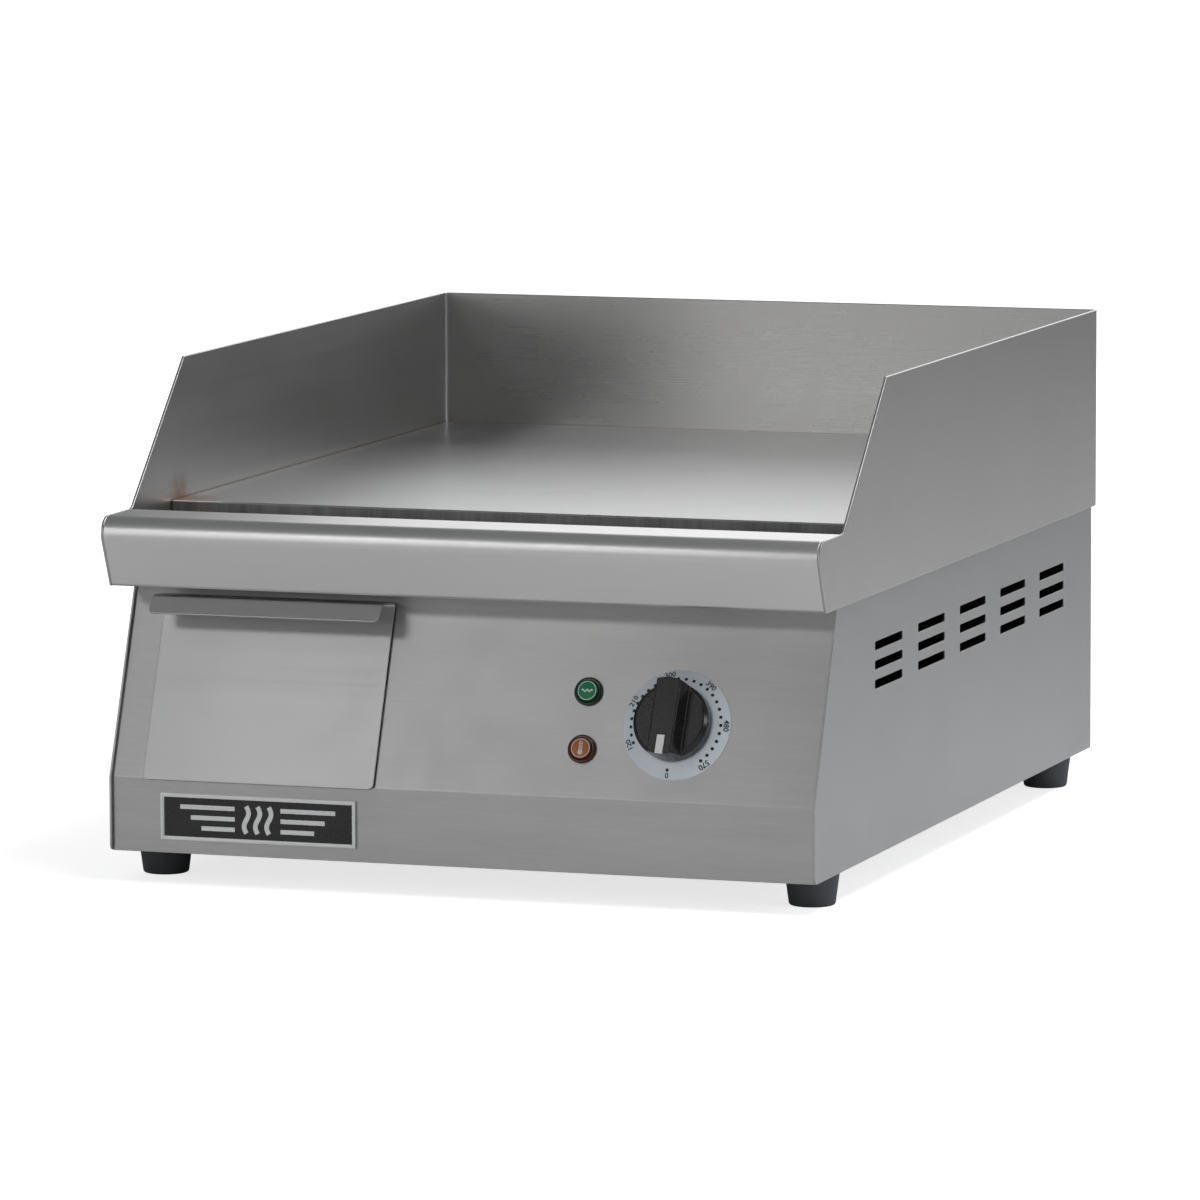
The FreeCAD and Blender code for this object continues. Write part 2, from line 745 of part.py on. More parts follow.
def base_panel():
    """Sheet tray with its four edges turned up, slotted for air and drilled for the feet."""
    front = y_panel + body_sheet
    rear = y_rear - body_sheet
    outer = block(-x_inside, x_inside, front, rear, z_body, z_body + base_flange)
    inner = block(-x_inside + body_sheet, x_inside - body_sheet, front + body_sheet, rear - body_sheet,
                  z_body + body_sheet, z_body + 2 * base_flange)
    cutters = [rod(foot_screw_radius + screw_hole_gap, foot_height, p + z_axis * (z_body - foot_height / 2))
               for p in foot_places().values()]
    cutters.append(rod(screw_radius + screw_hole_gap, foot_height,
                       vec(*earth_place(), z_body - foot_height / 2)))
    for side in (-1, 1):
        for i in range(base_slots):
            x = side * x_inside / 2
            y = (front + rear) / 2 + (i - (base_slots - 1) / 2) * base_slot_pitch
            cutters.append(block(x - base_slot_length / 2, x + base_slot_length / 2, y - base_slot_width / 2,
                                 y + base_slot_width / 2, z_body - foot_height / 2, z_body + base_flange / 2))
    return outer.cut(inner).cut(Part.makeCompound(cutters))


def foot(place):
    """Tapered rubber foot with a recess for its screw."""
    profile = outline(
        [(0, 0), (foot_base_radius, 0), (foot_top_radius, foot_height), (0, foot_height)],
        [0, foot_edge_radius, 0, 0], lambda p: vec(p.x, 0, p.y),
    )
    body = profile.revolve(vec(0, 0, 0), z_axis, 360)
    body = body.cut(rod(foot_screw_radius, foot_height, vec(0, 0, 0)))
    body = body.cut(rod(foot_recess_radius, foot_recess_depth, vec(0, 0, 0)))
    body.translate(place)
    return body


def foot_screws():
    length = foot_height - foot_recess_depth + body_sheet + foot_nut_height + fit_gap
    screws = []
    for place in foot_places().values():
        seat = place + z_axis * foot_recess_depth
        head = rod(foot_screw_head_radius, foot_screw_head_height, seat, z_axis * -1)
        screws.append(head.fuse(rod(foot_screw_radius, length, seat)))
    return screws


def foot_nuts():
    nuts = []
    for place in foot_places().values():
        seat = place + z_axis * (z_body + body_sheet)
        nut = hex_prism(foot_nut_flats, foot_nut_height, seat)
        nuts.append(nut.cut(rod(foot_screw_radius, foot_nut_height, seat)))
    return nuts


# ---- drawer -------------------------------------------------------------------
def drawer_front():
    """Front plate whose top is folded out and down into the pull."""
    top = drawer_plate_height - drawer_plate_drop
    lip = drawer_stand_off + lip_depth
    left = drawer_centre_x - drawer_width / 2
    fold = top - lip_depth * math.tan(math.radians(lip_tilt))
    sheet = strip(
        [(drawer_stand_off, -drawer_plate_drop), (drawer_stand_off, top), (lip, fold),
         (lip + lip_flare, fold - lip_drop)],
        [bend_radius] * 2, body_sheet, -1, lambda p: vec(left, p.y, p.x),
    ).extrude(x_axis * drawer_width)
    corners = [e for e in sheet.Edges if abs(e.Length - body_sheet) < tiny and e.BoundBox.XLength < tiny
               and (e.BoundBox.YMax < 0 or e.BoundBox.ZMax > lip + lip_flare / 2)]
    return on_slope(sheet.makeFillet(drawer_corner, corners))


def tray_solid(inset, floor, rim):
    """Block of the tray's outline, shrunk by inset, from floor up to rim."""
    back = slope_y(z_tray, drawer_stand_off) + tray_length - inset
    out = drawer_stand_off - inset
    left = drawer_centre_x - tray_width / 2 + inset
    face = outline(
        [(slope_y(floor, out), floor), (back, floor), (back, rim), (slope_y(rim, out), rim)],
        [0] * 4, side_plane(left),
    )
    solid = face.extrude(x_axis * (tray_width - 2 * inset))
    uprights = [e for e in solid.Edges if e.BoundBox.YMin > back - overcut and e.BoundBox.ZLength > overcut]
    return solid.makeFillet(tray_corner - inset, uprights)


def drawer_tray():
    """Open pan, its front wall on the back of the front plate."""
    pan = tray_solid(0, z_tray, z_tray_rim)
    return pan.cut(tray_solid(tray_sheet, z_tray + tray_sheet, z_tray_rim + tray_height))


def guide_heights():
    """Underside and top of the level leg that the tray slides on."""
    top = z_tray - slide_gap
    return top - body_sheet, top


def tray_back():
    return slope_y(z_tray, drawer_stand_off) + tray_length


def drawer_guide(side):
    """Angle that carries one edge of the tray."""
    low, top = guide_heights()
    wall = drawer_centre_x + side * (tray_width / 2 + slide_gap)
    outer = wall + side * body_sheet
    inner = wall - side * guide_leg
    front = slope_y(z_tray + guide_leg) + 2 * body_sheet
    rear = tray_back() + slide_gap
    level = block(min(inner, outer), max(inner, outer), front, rear, low, top)
    upright = block(min(wall, outer), max(wall, outer), front, rear, low, z_tray + guide_leg)
    return level.fuse(upright).removeSplitter()


def guide_bracket(y, stop_height):
    """Sheet stand across both guides, footed on the base; a taller one also stops the tray."""
    low, _ = guide_heights()
    floor = z_body + body_sheet
    reach = tray_width / 2 + slide_gap + body_sheet
    left = drawer_centre_x - reach
    right = drawer_centre_x + reach
    web = block(left, right, y, y + body_sheet, floor, low + stop_height)
    foot_flange = block(left, right, y, y + panel_flange, floor, floor + body_sheet)
    return web.fuse(foot_flange).removeSplitter()


def guide_brackets():
    front = slope_y(z_tray + guide_leg) + panel_flange
    return [guide_bracket(front, 0), guide_bracket(tray_back() + slide_gap, 2 * guide_leg)]


# ---- knob and thermostat ------------------------------------------------------
def knob_base():
    """Height of the knob's underside above the panel."""
    return dial_ring_thickness + knob_air


def knob_outer():
    """Bevelled disc with a straight handle across it, in the panel's frame."""
    base = knob_base()
    disc = rod(knob_radius, knob_skirt_height, vec(0, 0, base))
    rim = [e for e in disc.Edges if e.BoundBox.ZMin > base + knob_skirt_height / 2]
    disc = disc.makeChamfer(knob_bevel, rim)
    half_top = grip_width / 2
    grip_height = knob_height - knob_skirt_height + knob_bevel
    half_root = half_top + grip_height * math.tan(math.radians(grip_draft))
    top = base + knob_height
    section = outline(
        [(-half_root, top - grip_height), (half_root, top - grip_height), (half_top, top), (-half_top, top)],
        [0, 0, grip_edge, grip_edge], lambda p: vec(p.x, -knob_radius, p.y),
    )
    grip = section.extrude(y_axis * (2 * knob_radius)).common(rod(knob_radius, 2 * knob_height, vec(0, 0, 0)))
    return disc.fuse(grip).removeSplitter()


def shaft_solid(gap):
    """The shaft, flattened where the knob holds it; gap widens it into a cutter."""
    bottom = -body_sheet - shaft_in_body
    top = knob_base() + shaft_in_knob + gap
    flat_start = knob_base()
    radius = shaft_radius + gap
    plain = rod(radius, flat_start - bottom, vec(0, 0, bottom))
    flatted = rod(radius, top - flat_start, vec(0, 0, flat_start))
    flatted = flatted.common(block(-radius, radius, -radius, radius - shaft_flat, flat_start, top))
    return plain.fuse(flatted)


def pointer_cutter():
    """Block that marks the white inlay at the handle's lower end."""
    top = knob_base() + knob_height
    return block(-pointer_width / 2, pointer_width / 2, -knob_radius, -knob_radius + pointer_length,
                 top - pointer_depth, top)


def knob_pieces():
    """Knob, shaft and pointer inlay, turned to the off position and placed on the dial's axis."""
    outer = knob_outer()
    cavity = rod(knob_cavity_radius, knob_cavity_depth, vec(0, 0, knob_base()))
    cavity = cavity.cut(rod(knob_hub_radius, knob_cavity_depth, vec(0, 0, knob_base())))
    pointer = outer.common(pointer_cutter())
    knob = outer.cut(cavity).cut(pointer).cut(shaft_solid(0))
    place = FreeCAD.Placement(vec(dial_x, dial_s, 0), FreeCAD.Rotation(z_axis, -knob_off_turn))
    pieces = []
    for piece in (knob, shaft_solid(0), pointer):
        piece = piece.copy()
        piece.Placement = place.multiply(piece.Placement)
        pieces.append(on_slope(piece))
    return pieces


def dial_ring():
    """Shallow cone that carries the scale, flat around the knob."""
    centre = vec(dial_x, dial_s, 0)
    ring = rod(dial_ring_radius, dial_ring_edge, centre)
    rise = dial_ring_thickness - dial_ring_edge
    cone = Part.makeCone(dial_ring_radius, dial_ring_land, rise, centre + z_axis * dial_ring_edge, z_axis)
    bore = rod(dial_ring_bore, dial_ring_thickness, centre)
    return on_slope(ring.fuse(cone).removeSplitter().cut(bore))


def thermostat_body():
    """Housing behind the panel with the shaft's bore and two tapped holes."""
    half = thermostat_width / 2
    top = -body_sheet
    body = block(dial_x - half, dial_x + half, dial_s - half, dial_s + half, top - thermostat_depth, top)
    body = body.makeFillet(thermostat_corner, [e for e in body.Edges if e.BoundBox.ZLength > overcut])
    shaft_depth = shaft_in_body + fit_gap
    bores = [rod(shaft_radius + shaft_gap, shaft_depth, vec(dial_x, dial_s, top - shaft_depth))]
    bores += [rod(screw_radius, screw_reach, p + z_axis * (top - screw_reach))
              for p in thermostat_screw_places()]
    tags = [block(x - light_tag_width / 2, x + light_tag_width / 2,
                  dial_s - thermostat_tag_offset, dial_s - thermostat_tag_offset + light_tag_thickness,
                  top - thermostat_depth - light_tag_length, top - thermostat_depth)
            for x in thermostat_tag_xs()]
    return on_slope(body.cut(Part.makeCompound(bores)).multiFuse(tags))


def thermostat_tag_xs():
    return (dial_x - thermostat_width / 4, dial_x + thermostat_width / 4)


def thermostat_screws():
    return [on_slope(screw(p, z_axis)) for p in thermostat_screw_places()]


# ---- indicator lights ---------------------------------------------------------
def light_lens(s):
    """Domed lens with a wide rim."""
    face = outline(
        [(0, 0), (lens_radius, 0), (lens_radius, lens_rim_height), (lens_dome_radius, lens_rim_height),
         (lens_crown_radius, lens_rim_height + lens_dome_height), (0, lens_rim_height + lens_dome_height)],
        [0, 0, lens_edge, 0, lens_dome_height, 0], lambda p: vec(p.x, 0, p.y),
    )
    lens = face.revolve(vec(0, 0, 0), z_axis, 360)
    lens.translate(vec(light_x, s, 0))
    return on_slope(lens)


def light_body(s):
    """Barrel through the panel with two tags at the back."""
    barrel = rod(light_body_radius, light_body_length, vec(light_x, s, 0), z_axis * -1)
    tags = [block(light_x + side * light_tag_offset - light_tag_thickness / 2,
                  light_x + side * light_tag_offset + light_tag_thickness / 2,
                  s - light_tag_width / 2, s + light_tag_width / 2,
                  -light_body_length - light_tag_length, -light_body_length)
            for side in (-1, 1)]
    return on_slope(barrel.multiFuse(tags))


def light_nut(s):
    seat = vec(light_x, s, -body_sheet - light_nut_height)
    nut = hex_prism(light_nut_flats, light_nut_height, seat)
    return on_slope(nut.cut(rod(light_body_radius, light_nut_height, seat)))


# ---- badge --------------------------------------------------------------------
def badge_plate():
    """Raised rim round a sunken field, on the upright band."""
    left = badge_left
    low = z_body + badge_rise - badge_height / 2
    front = y_panel - badge_thickness
    plate = block(left, left + badge_width, front, y_panel, low, low + badge_height)
    field = block(left + badge_rim, left + badge_width - badge_rim, front - badge_recess,
                  front + badge_recess, low + badge_rim, low + badge_height - badge_rim)
    return plate.cut(field)


# ---- wiring -------------------------------------------------------------------
def gland_axis():
    return vec(gland_x, 0, z_body + gland_rise)


def cable_gland():
    """Hexagon and cap outside the rear panel, threaded barrel inside, bored for a lead."""
    at = gland_axis()
    hexagon = hex_prism(gland_hex_flats, gland_hex_height, at + y_axis * y_rear, y_axis)
    cap = rod(gland_cap_radius, gland_cap_length, at + y_axis * (y_rear + gland_hex_height), y_axis)
    rim = [e for e in cap.Edges if e.BoundBox.YMin > y_rear + gland_hex_height + gland_cap_length / 2]
    cap = cap.makeFillet(gland_cap_radius / 3, rim)
    barrel = rod(gland_thread_radius, gland_thread_length, at + y_axis * y_rear, y_axis * -1)
    length = gland_hex_height + gland_cap_length + gland_thread_length
    bore = rod(gland_bore_radius, 2 * length, at + y_axis * (y_rear - length), y_axis)
    return hexagon.fuse(cap).fuse(barrel).cut(bore)


def gland_nut():
    seat = gland_axis() + y_axis * (y_rear - body_sheet - gland_nut_height)
    nut = hex_prism(gland_hex_flats, gland_nut_height, seat, y_axis)
    return nut.cut(rod(gland_thread_radius, gland_nut_height, seat, y_axis))


def terminal_centre():
    return vec(terminal_x, y_rear - terminal_setback, z_body + body_sheet)


def pole_xs():
    return [terminal_x + (i - (terminal_poles - 1) / 2) * terminal_pitch for i in range(terminal_poles)]


def terminal_block():
    """Three-pole block on the base, bored fore and aft for the leads and from above for screws."""
    at = terminal_centre()
    body = block(at.x - terminal_width / 2, at.x + terminal_width / 2, at.y - terminal_depth / 2,
                 at.y + terminal_depth / 2, at.z, at.z + terminal_height)
    middle = at.z + terminal_height / 2
    inlet = terminal_depth / 4
    cutters = [rod(lead_radius + fit_gap, inlet, vec(x, at.y + inlet, middle), y_axis) for x in pole_xs()]
    cutters += [rod(screw_radius, terminal_height / 3, vec(x, at.y, at.z + terminal_height), z_axis * -1)
                for x in pole_xs()]
    return body.cut(Part.makeCompound(cutters))


def terminal_screws():
    at = terminal_centre()
    return [rod(screw_radius, terminal_height / 3, vec(x, at.y, at.z + terminal_height), z_axis * -1)
            for x in pole_xs()]


def earth_place():
    """Where the earth stud stands on the base, ahead of the terminal block."""
    return (terminal_x + terminal_width / 2, y_rear - terminal_setback - earth_ahead)


def earth_stud():
    """Screw up through the base with a nut on it."""
    return screw(vec(*earth_place(), z_body), z_axis * -1)


def lead_start(pole):
    """Middle of the terminal block's front face at one pole."""
    at = terminal_centre()
    return vec(pole_xs()[pole], at.y - terminal_depth / 2, at.z + terminal_height / 2)


def pin_end(side, outer):
    """Lower end of an element's pin."""
    xs = element_legs_x(side)
    x = xs[0] if outer else xs[-1]
    return vec(x, y_rear - rear_service_gap / 2, z_element - element_drop - element_pin_length)


def link_lead(start, end, drop):
    """Lead that hangs between two downward pins."""
    low = start.z - drop
    route = [tuple(start), (start.x, start.y, low), (end.x, end.y, low), tuple(end)]
    return tube(route, lead_radius, lead_bend)


def neutral_leads():
    start = lead_start(0)
    pin = pin_end(1, False)
    shift = x_axis * (lead_radius + fit_gap / 2)
    reach = y_axis * -lead_run
    top = pin.z - 2 * lead_drop
    feed = tube([tuple(start), tuple(start + reach), (pin.x - shift.x, start.y - lead_run, top),
                 (pin.x - shift.x, pin.y, top), tuple(pin - shift)], lead_radius, lead_bend)
    link = link_lead(pin + shift, pin_end(-1, False), lead_drop)
    return [feed, link]


def thermostat_tag(index):
    """Tip of one of the thermostat's tags, and a point straight behind it."""
    depth = body_sheet + thermostat_depth + light_tag_length
    x = thermostat_tag_xs()[index]
    s = dial_s - thermostat_tag_offset + light_tag_thickness / 2
    tip = slope_place.multVec(vec(x, s, -depth))
    behind = slope_place.multVec(vec(x, s, -depth - lead_drop))
    return tip, behind


def live_leads():
    start = lead_start(2)
    tip, behind = thermostat_tag(0)
    feed = tube([tuple(start), (start.x, start.y - lead_run, start.z),
                 (behind.x, start.y - 2 * lead_run, start.z), (behind.x, behind.y + lead_run, start.z),
                 tuple(behind), tuple(tip)], lead_radius, lead_bend)
    tip, behind = thermostat_tag(1)
    pin = pin_end(1, True)
    shift = x_axis * (lead_radius + fit_gap / 2)
    top = pin.z - lead_drop
    back = tube([tuple(tip), tuple(behind), (pin.x + shift.x, behind.y + lead_run, top),
                 (pin.x + shift.x, pin.y, top), tuple(pin + shift)], lead_radius, lead_bend)
    link = link_lead(pin - shift, pin_end(-1, True), 3 * lead_drop)
    return [feed, back, link]


def earth_lead():
    """Lead from the middle pole to the earth stud's tip."""
    start = lead_start(1)
    x, y = earth_place()
    tip = vec(x, y, z_body + screw_reach)
    rise = start.z + lead_drop
    return tube([tuple(start), (start.x, start.y - lead_run / 2, start.z), (x, y, rise), tuple(tip)],
                lead_radius, lead_bend / 2)


def light_tag(s, side):
    depth = light_body_length + light_tag_length
    return slope_place.multVec(vec(light_x + side * light_tag_offset, s, -depth))


def lamp_leads():
    """One lead on each side, from the upper light's tag to the lower light's."""
    depth = light_body_length + light_tag_length + lead_drop
    leads = []
    for side in (-1, 1):
        points = [light_tag(power_light_s, side)]
        for s in (power_light_s, heat_light_s):
            points.append(slope_place.multVec(vec(light_x + side * light_tag_offset, s, -depth)))
        points.append(light_tag(heat_light_s, side))
        leads.append(tube([tuple(p) for p in points], lead_radius, lead_bend))
    return leads


# ---- write every node ---------------------------------------------------------
def build():
    os.makedirs("parts", exist_ok=True)
    save("splash_guard", splash_guard())
    save("front_rail", front_rail())
    save("griddle_plate", griddle_plate())
    save("plate_studs", *plate_studs())
    save("grease_trough", grease_trough())
    save("drain_spout", drain_spout())
    for hand, side in (("left", -1), ("right", 1)):
        save("plate_support_" + hand, plate_support(side))
        save("heating_element_" + hand, heating_element(side))
        save("side_panel_" + hand, side_panel(side))
        save("drawer_guide_" + hand, drawer_guide(side))
    save("element_clamps", *element_clamps())
    save("clamp_nuts", *clamp_nuts())
    save("heat_shield", heat_shield())
    save("insulation_blanket", insulation_blanket())
    save("sensor_bulb", sensor_bulb())
    save("bulb_saddle", bulb_saddle())
    save("capillary_tube", capillary_tube())
    save("front_panel", front_panel())
    save("rear_panel", rear_panel())
    save("rear_screws", *rear_screws())
    save("base_panel", base_panel())
    for name, place in foot_places().items():
        save(name, foot(place))
    save("foot_screws", *foot_screws())
    save("foot_nuts", *foot_nuts())
    save("guide_brackets", *guide_brackets())
    save("drawer_front", drawer_front())
    save("drawer_tray", drawer_tray())
    knob, shaft, pointer = knob_pieces()
    save("thermostat_knob", knob)
    save("thermostat_shaft", shaft)
    save("knob_pointer", pointer)
    save("dial_ring", dial_ring())
    save("thermostat_body", thermostat_body())
    save("thermostat_screws", *thermostat_screws())
    for name, s in light_places().items():
        save(name + "_lens", light_lens(s))
        save(name + "_body", light_body(s))
        save(name + "_nut", light_nut(s))
    save("badge_plate", badge_plate())
    save("cable_gland", cable_gland())
    save("gland_nut", gland_nut())
    save("terminal_block", terminal_block())
    save("terminal_screws", *terminal_screws())
    save("earth_stud", earth_stud())
    save("neutral_leads", *neutral_leads())
    save("live_leads", *live_leads())
    save("earth_lead", earth_lead())
    save("lamp_leads", *lamp_leads())
    dial = slope_place.multVec(vec(dial_x, dial_s, 0))
    print("dial axis point", [round(v, 3) for v in dial])
    print("back face of the splash guard", round(y_back, 3))


build()
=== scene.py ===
import bmesh
import bpy
import json
import math
from mathutils import Matrix, Vector, noise


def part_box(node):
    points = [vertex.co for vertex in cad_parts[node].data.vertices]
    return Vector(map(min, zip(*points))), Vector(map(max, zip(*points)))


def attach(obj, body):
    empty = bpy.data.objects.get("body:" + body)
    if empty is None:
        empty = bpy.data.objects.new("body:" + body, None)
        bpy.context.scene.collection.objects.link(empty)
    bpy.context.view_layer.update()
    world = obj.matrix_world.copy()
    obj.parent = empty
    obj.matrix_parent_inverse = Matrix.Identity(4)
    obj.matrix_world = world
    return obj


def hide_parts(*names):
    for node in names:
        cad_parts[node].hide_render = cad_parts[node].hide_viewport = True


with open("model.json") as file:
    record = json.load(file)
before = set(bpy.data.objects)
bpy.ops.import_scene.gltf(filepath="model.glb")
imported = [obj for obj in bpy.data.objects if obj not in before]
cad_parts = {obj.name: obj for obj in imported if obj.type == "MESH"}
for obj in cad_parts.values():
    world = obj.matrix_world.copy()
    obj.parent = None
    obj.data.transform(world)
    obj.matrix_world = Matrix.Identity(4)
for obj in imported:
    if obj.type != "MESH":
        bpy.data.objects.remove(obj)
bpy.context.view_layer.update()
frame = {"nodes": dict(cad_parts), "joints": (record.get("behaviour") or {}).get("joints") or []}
mm = 0.001
nodes = frame["nodes"]
print("frame loaded,", len(nodes), "nodes")

# the control panel's own frame: x to the right, y up the slope, z straight out of the panel
turn = [j for j in frame["joints"] if j["name"] == "thermostat_turn"][0]
dialPoint = Vector(turn["pos_m"])
panelOut = Vector(turn["axis"]).normalized()
panelRight = Vector((1, 0, 0))
panelUp = panelOut.cross(panelRight)


def panelMatrix(x, y, out=0.0):
    origin = dialPoint + panelRight * x + panelUp * y + panelOut * out
    turned = Matrix((panelRight, panelUp, panelOut)).transposed().to_4x4()
    return Matrix.Translation(origin) @ turned


def feed(tree, value, socket):
    # a socket is linked, anything else becomes the input's own value
    if isinstance(value, bpy.types.NodeSocket):
        tree.links.new(value, socket)
    else:
        socket.default_value = value


def feedAll(tree, inputs, **values):
    for key, value in values.items():
        feed(tree, value, inputs[key])


def addNode(tree, kind, **values):
    node = tree.nodes.new(kind)
    for key, value in values.items():
        if hasattr(node, key):
            setattr(node, key, value)
        else:
            feed(tree, value, node.inputs[key])
    return node


def addMath(tree, operation, *values, kind="ShaderNodeMath", out=0):
    node = addNode(tree, kind, operation=operation)
    for i, value in enumerate(values):
        feed(tree, value, node.inputs[i])
    return node.outputs[out]


def addVectorMath(tree, operation, *values, out=0):
    return addMath(tree, operation, *values, kind="ShaderNodeVectorMath", out=out)


def addRange(tree, value, low, high, toLow=0.0, toHigh=1.0, smooth=False):
    node = addNode(tree, "ShaderNodeMapRange", interpolation_type="SMOOTHSTEP" if smooth else "LINEAR")
    for i, given in enumerate((value, low, high, toLow, toHigh)):
        feed(tree, given, node.inputs[i])
    return node.outputs[0]


def addMix(tree, share, first, second, blend="MIX"):
    node = addNode(tree, "ShaderNodeMix", data_type="RGBA", blend_type=blend)
    for i, given in ((0, share), (6, first), (7, second)):
        feed(tree, given, node.inputs[i])
    return node.outputs[2]


def addNoise(tree, place, scale, detail, rough, distortion=0.0):
    return addNode(tree, "ShaderNodeTexNoise", Vector=place, Scale=scale, Detail=detail, Roughness=rough,
                   Distortion=distortion).outputs["Fac"]


def newGroup(name, kind, inputs, outputs):
    tree = bpy.data.node_groups.new(name, kind)
    for label, socketType, value in inputs:
        socket = tree.interface.new_socket(label, in_out="INPUT", socket_type=socketType)
        if value is not None:
            socket.default_value = value
    for label, socketType in outputs:
        tree.interface.new_socket(label, in_out="OUTPUT", socket_type=socketType)
    return tree, tree.nodes.new("NodeGroupInput").outputs, tree.nodes.new("NodeGroupOutput").inputs


def buildGrainGroup():
    # long fine scratches in one direction over soft clouds, for every rolled or brushed metal
    tree, given, made = newGroup("brushedGrain", "ShaderNodeTree", [
        ("Coordinates", "NodeSocketVector", None),
        ("Stretch", "NodeSocketVector", (6, 1500, 1500)),
        ("Light Tone", "NodeSocketColor", (0.6, 0.6, 0.6, 1)),
        ("Dark Tone", "NodeSocketColor", (0.5, 0.5, 0.5, 1)),
        ("Cloud Size", "NodeSocketFloat", 9.0),
        ("Smooth", "NodeSocketFloat", 0.28),
        ("Rough", "NodeSocketFloat", 0.42),
    ], [("Color", "NodeSocketColor"), ("Roughness", "NodeSocketFloat"), ("Height", "NodeSocketFloat")])
    fineShare, bandShare, cloudShare = 0.55, 0.45, 0.6
    bandStretch = (0.35, 0.16, 0.16)
    stretched = addVectorMath(tree, "MULTIPLY", given["Coordinates"], given["Stretch"])
    fine = addNoise(tree, stretched, 1.0, 3.0, 0.65)
    bands = addNoise(tree, addVectorMath(tree, "MULTIPLY", stretched, bandStretch), 1.0, 2.0, 0.5)
    clouds = addNoise(tree, given["Coordinates"], given["Cloud Size"], 3.0, 0.55)
    scratches = addMath(tree, "MULTIPLY_ADD", bands, bandShare, addMath(tree, "MULTIPLY", fine, fineShare))
    tone = addRange(tree, addMath(tree, "MULTIPLY_ADD", clouds, cloudShare, scratches), 0.5, 1.1)
    feedAll(tree, made, Color=addMix(tree, tone, given["Dark Tone"], given["Light Tone"]),
            Roughness=addRange(tree, scratches, 0.3, 0.7, given["Smooth"], given["Rough"]), Height=scratches)
    return tree


def buildMarksGroup():
    # wiping marks and a little dust: a mask that dulls the finish in patches
    tree, given, made = newGroup("wipeMarks", "ShaderNodeTree", [
        ("Coordinates", "NodeSocketVector", None),
        ("Roughness", "NodeSocketFloat", 0.35),
        ("Patch Size", "NodeSocketFloat", 14.0),
        ("Amount", "NodeSocketFloat", 0.08),
    ], [("Roughness", "NodeSocketFloat"), ("Mask", "NodeSocketFloat")])
    patches = addNoise(tree, given["Coordinates"], given["Patch Size"], 5.0, 0.6, 0.8)
    mask = addRange(tree, patches, 0.45, 0.72)
    feedAll(tree, made, Mask=mask,
            Roughness=addMath(tree, "MULTIPLY_ADD", mask, given["Amount"], given["Roughness"]))
    return tree


def buildTintGroup():
    # straw to brown heat colour round one point, as a weld leaves it
    tree, given, made = newGroup("weldTint", "ShaderNodeTree", [
        ("Coordinates", "NodeSocketVector", None),
        ("Color", "NodeSocketColor", (0.5, 0.5, 0.5, 1)),
        ("Spot", "NodeSocketVector", (0, 0, 0)),
        ("Reach", "NodeSocketFloat", 0.02),
        ("Tint", "NodeSocketColor", (0.28, 0.13, 0.07, 1)),
        ("Amount", "NodeSocketFloat", 0.8),
    ], [("Color", "NodeSocketColor"), ("Mask", "NodeSocketFloat")])
    core, raggedness = 0.008, 0.012
    away = addVectorMath(tree, "DISTANCE", given["Coordinates"], given["Spot"], out="Value")
    ragged = addNoise(tree, given["Coordinates"], 160.0, 4.0, 0.6)
    wobble = addMath(tree, "MULTIPLY_ADD", ragged, raggedness, away)
    near = addRange(tree, wobble, core, given["Reach"], 1.0, 0.0, smooth=True)
    amount = addMath(tree, "MULTIPLY", near, given["Amount"])
    feedAll(tree, made, Color=addMix(tree, amount, given["Color"], given["Tint"]), Mask=amount)
    return tree


def buildSpeckleGroup():
    # fine even texture with two tones, for rubber, moulded plastic, ceramic and sleeving
    tree, given, made = newGroup("mouldedSpeckle", "ShaderNodeTree", [
        ("Coordinates", "NodeSocketVector", None),
        ("Light Tone", "NodeSocketColor", (0.1, 0.1, 0.1, 1)),
        ("Dark Tone", "NodeSocketColor", (0.05, 0.05, 0.05, 1)),
        ("Speckle Size", "NodeSocketFloat", 900.0),
        ("Smooth", "NodeSocketFloat", 0.4),
        ("Rough", "NodeSocketFloat", 0.6),
    ], [("Color", "NodeSocketColor"), ("Roughness", "NodeSocketFloat"), ("Height", "NodeSocketFloat")])
    speckle = addNoise(tree, given["Coordinates"], given["Speckle Size"], 2.0, 0.5)
    large = addNoise(tree, given["Coordinates"], 45.0, 3.0, 0.5)
    total = addMath(tree, "MULTIPLY_ADD", speckle, 0.5, addMath(tree, "MULTIPLY", large, 0.5))
    tone = addRange(tree, total, 0.35, 0.65)
    feedAll(tree, made, Color=addMix(tree, tone, given["Dark Tone"], given["Light Tone"]),
            Roughness=addRange(tree, tone, 0.0, 1.0, given["Smooth"], given["Rough"]), Height=speckle)
    return tree


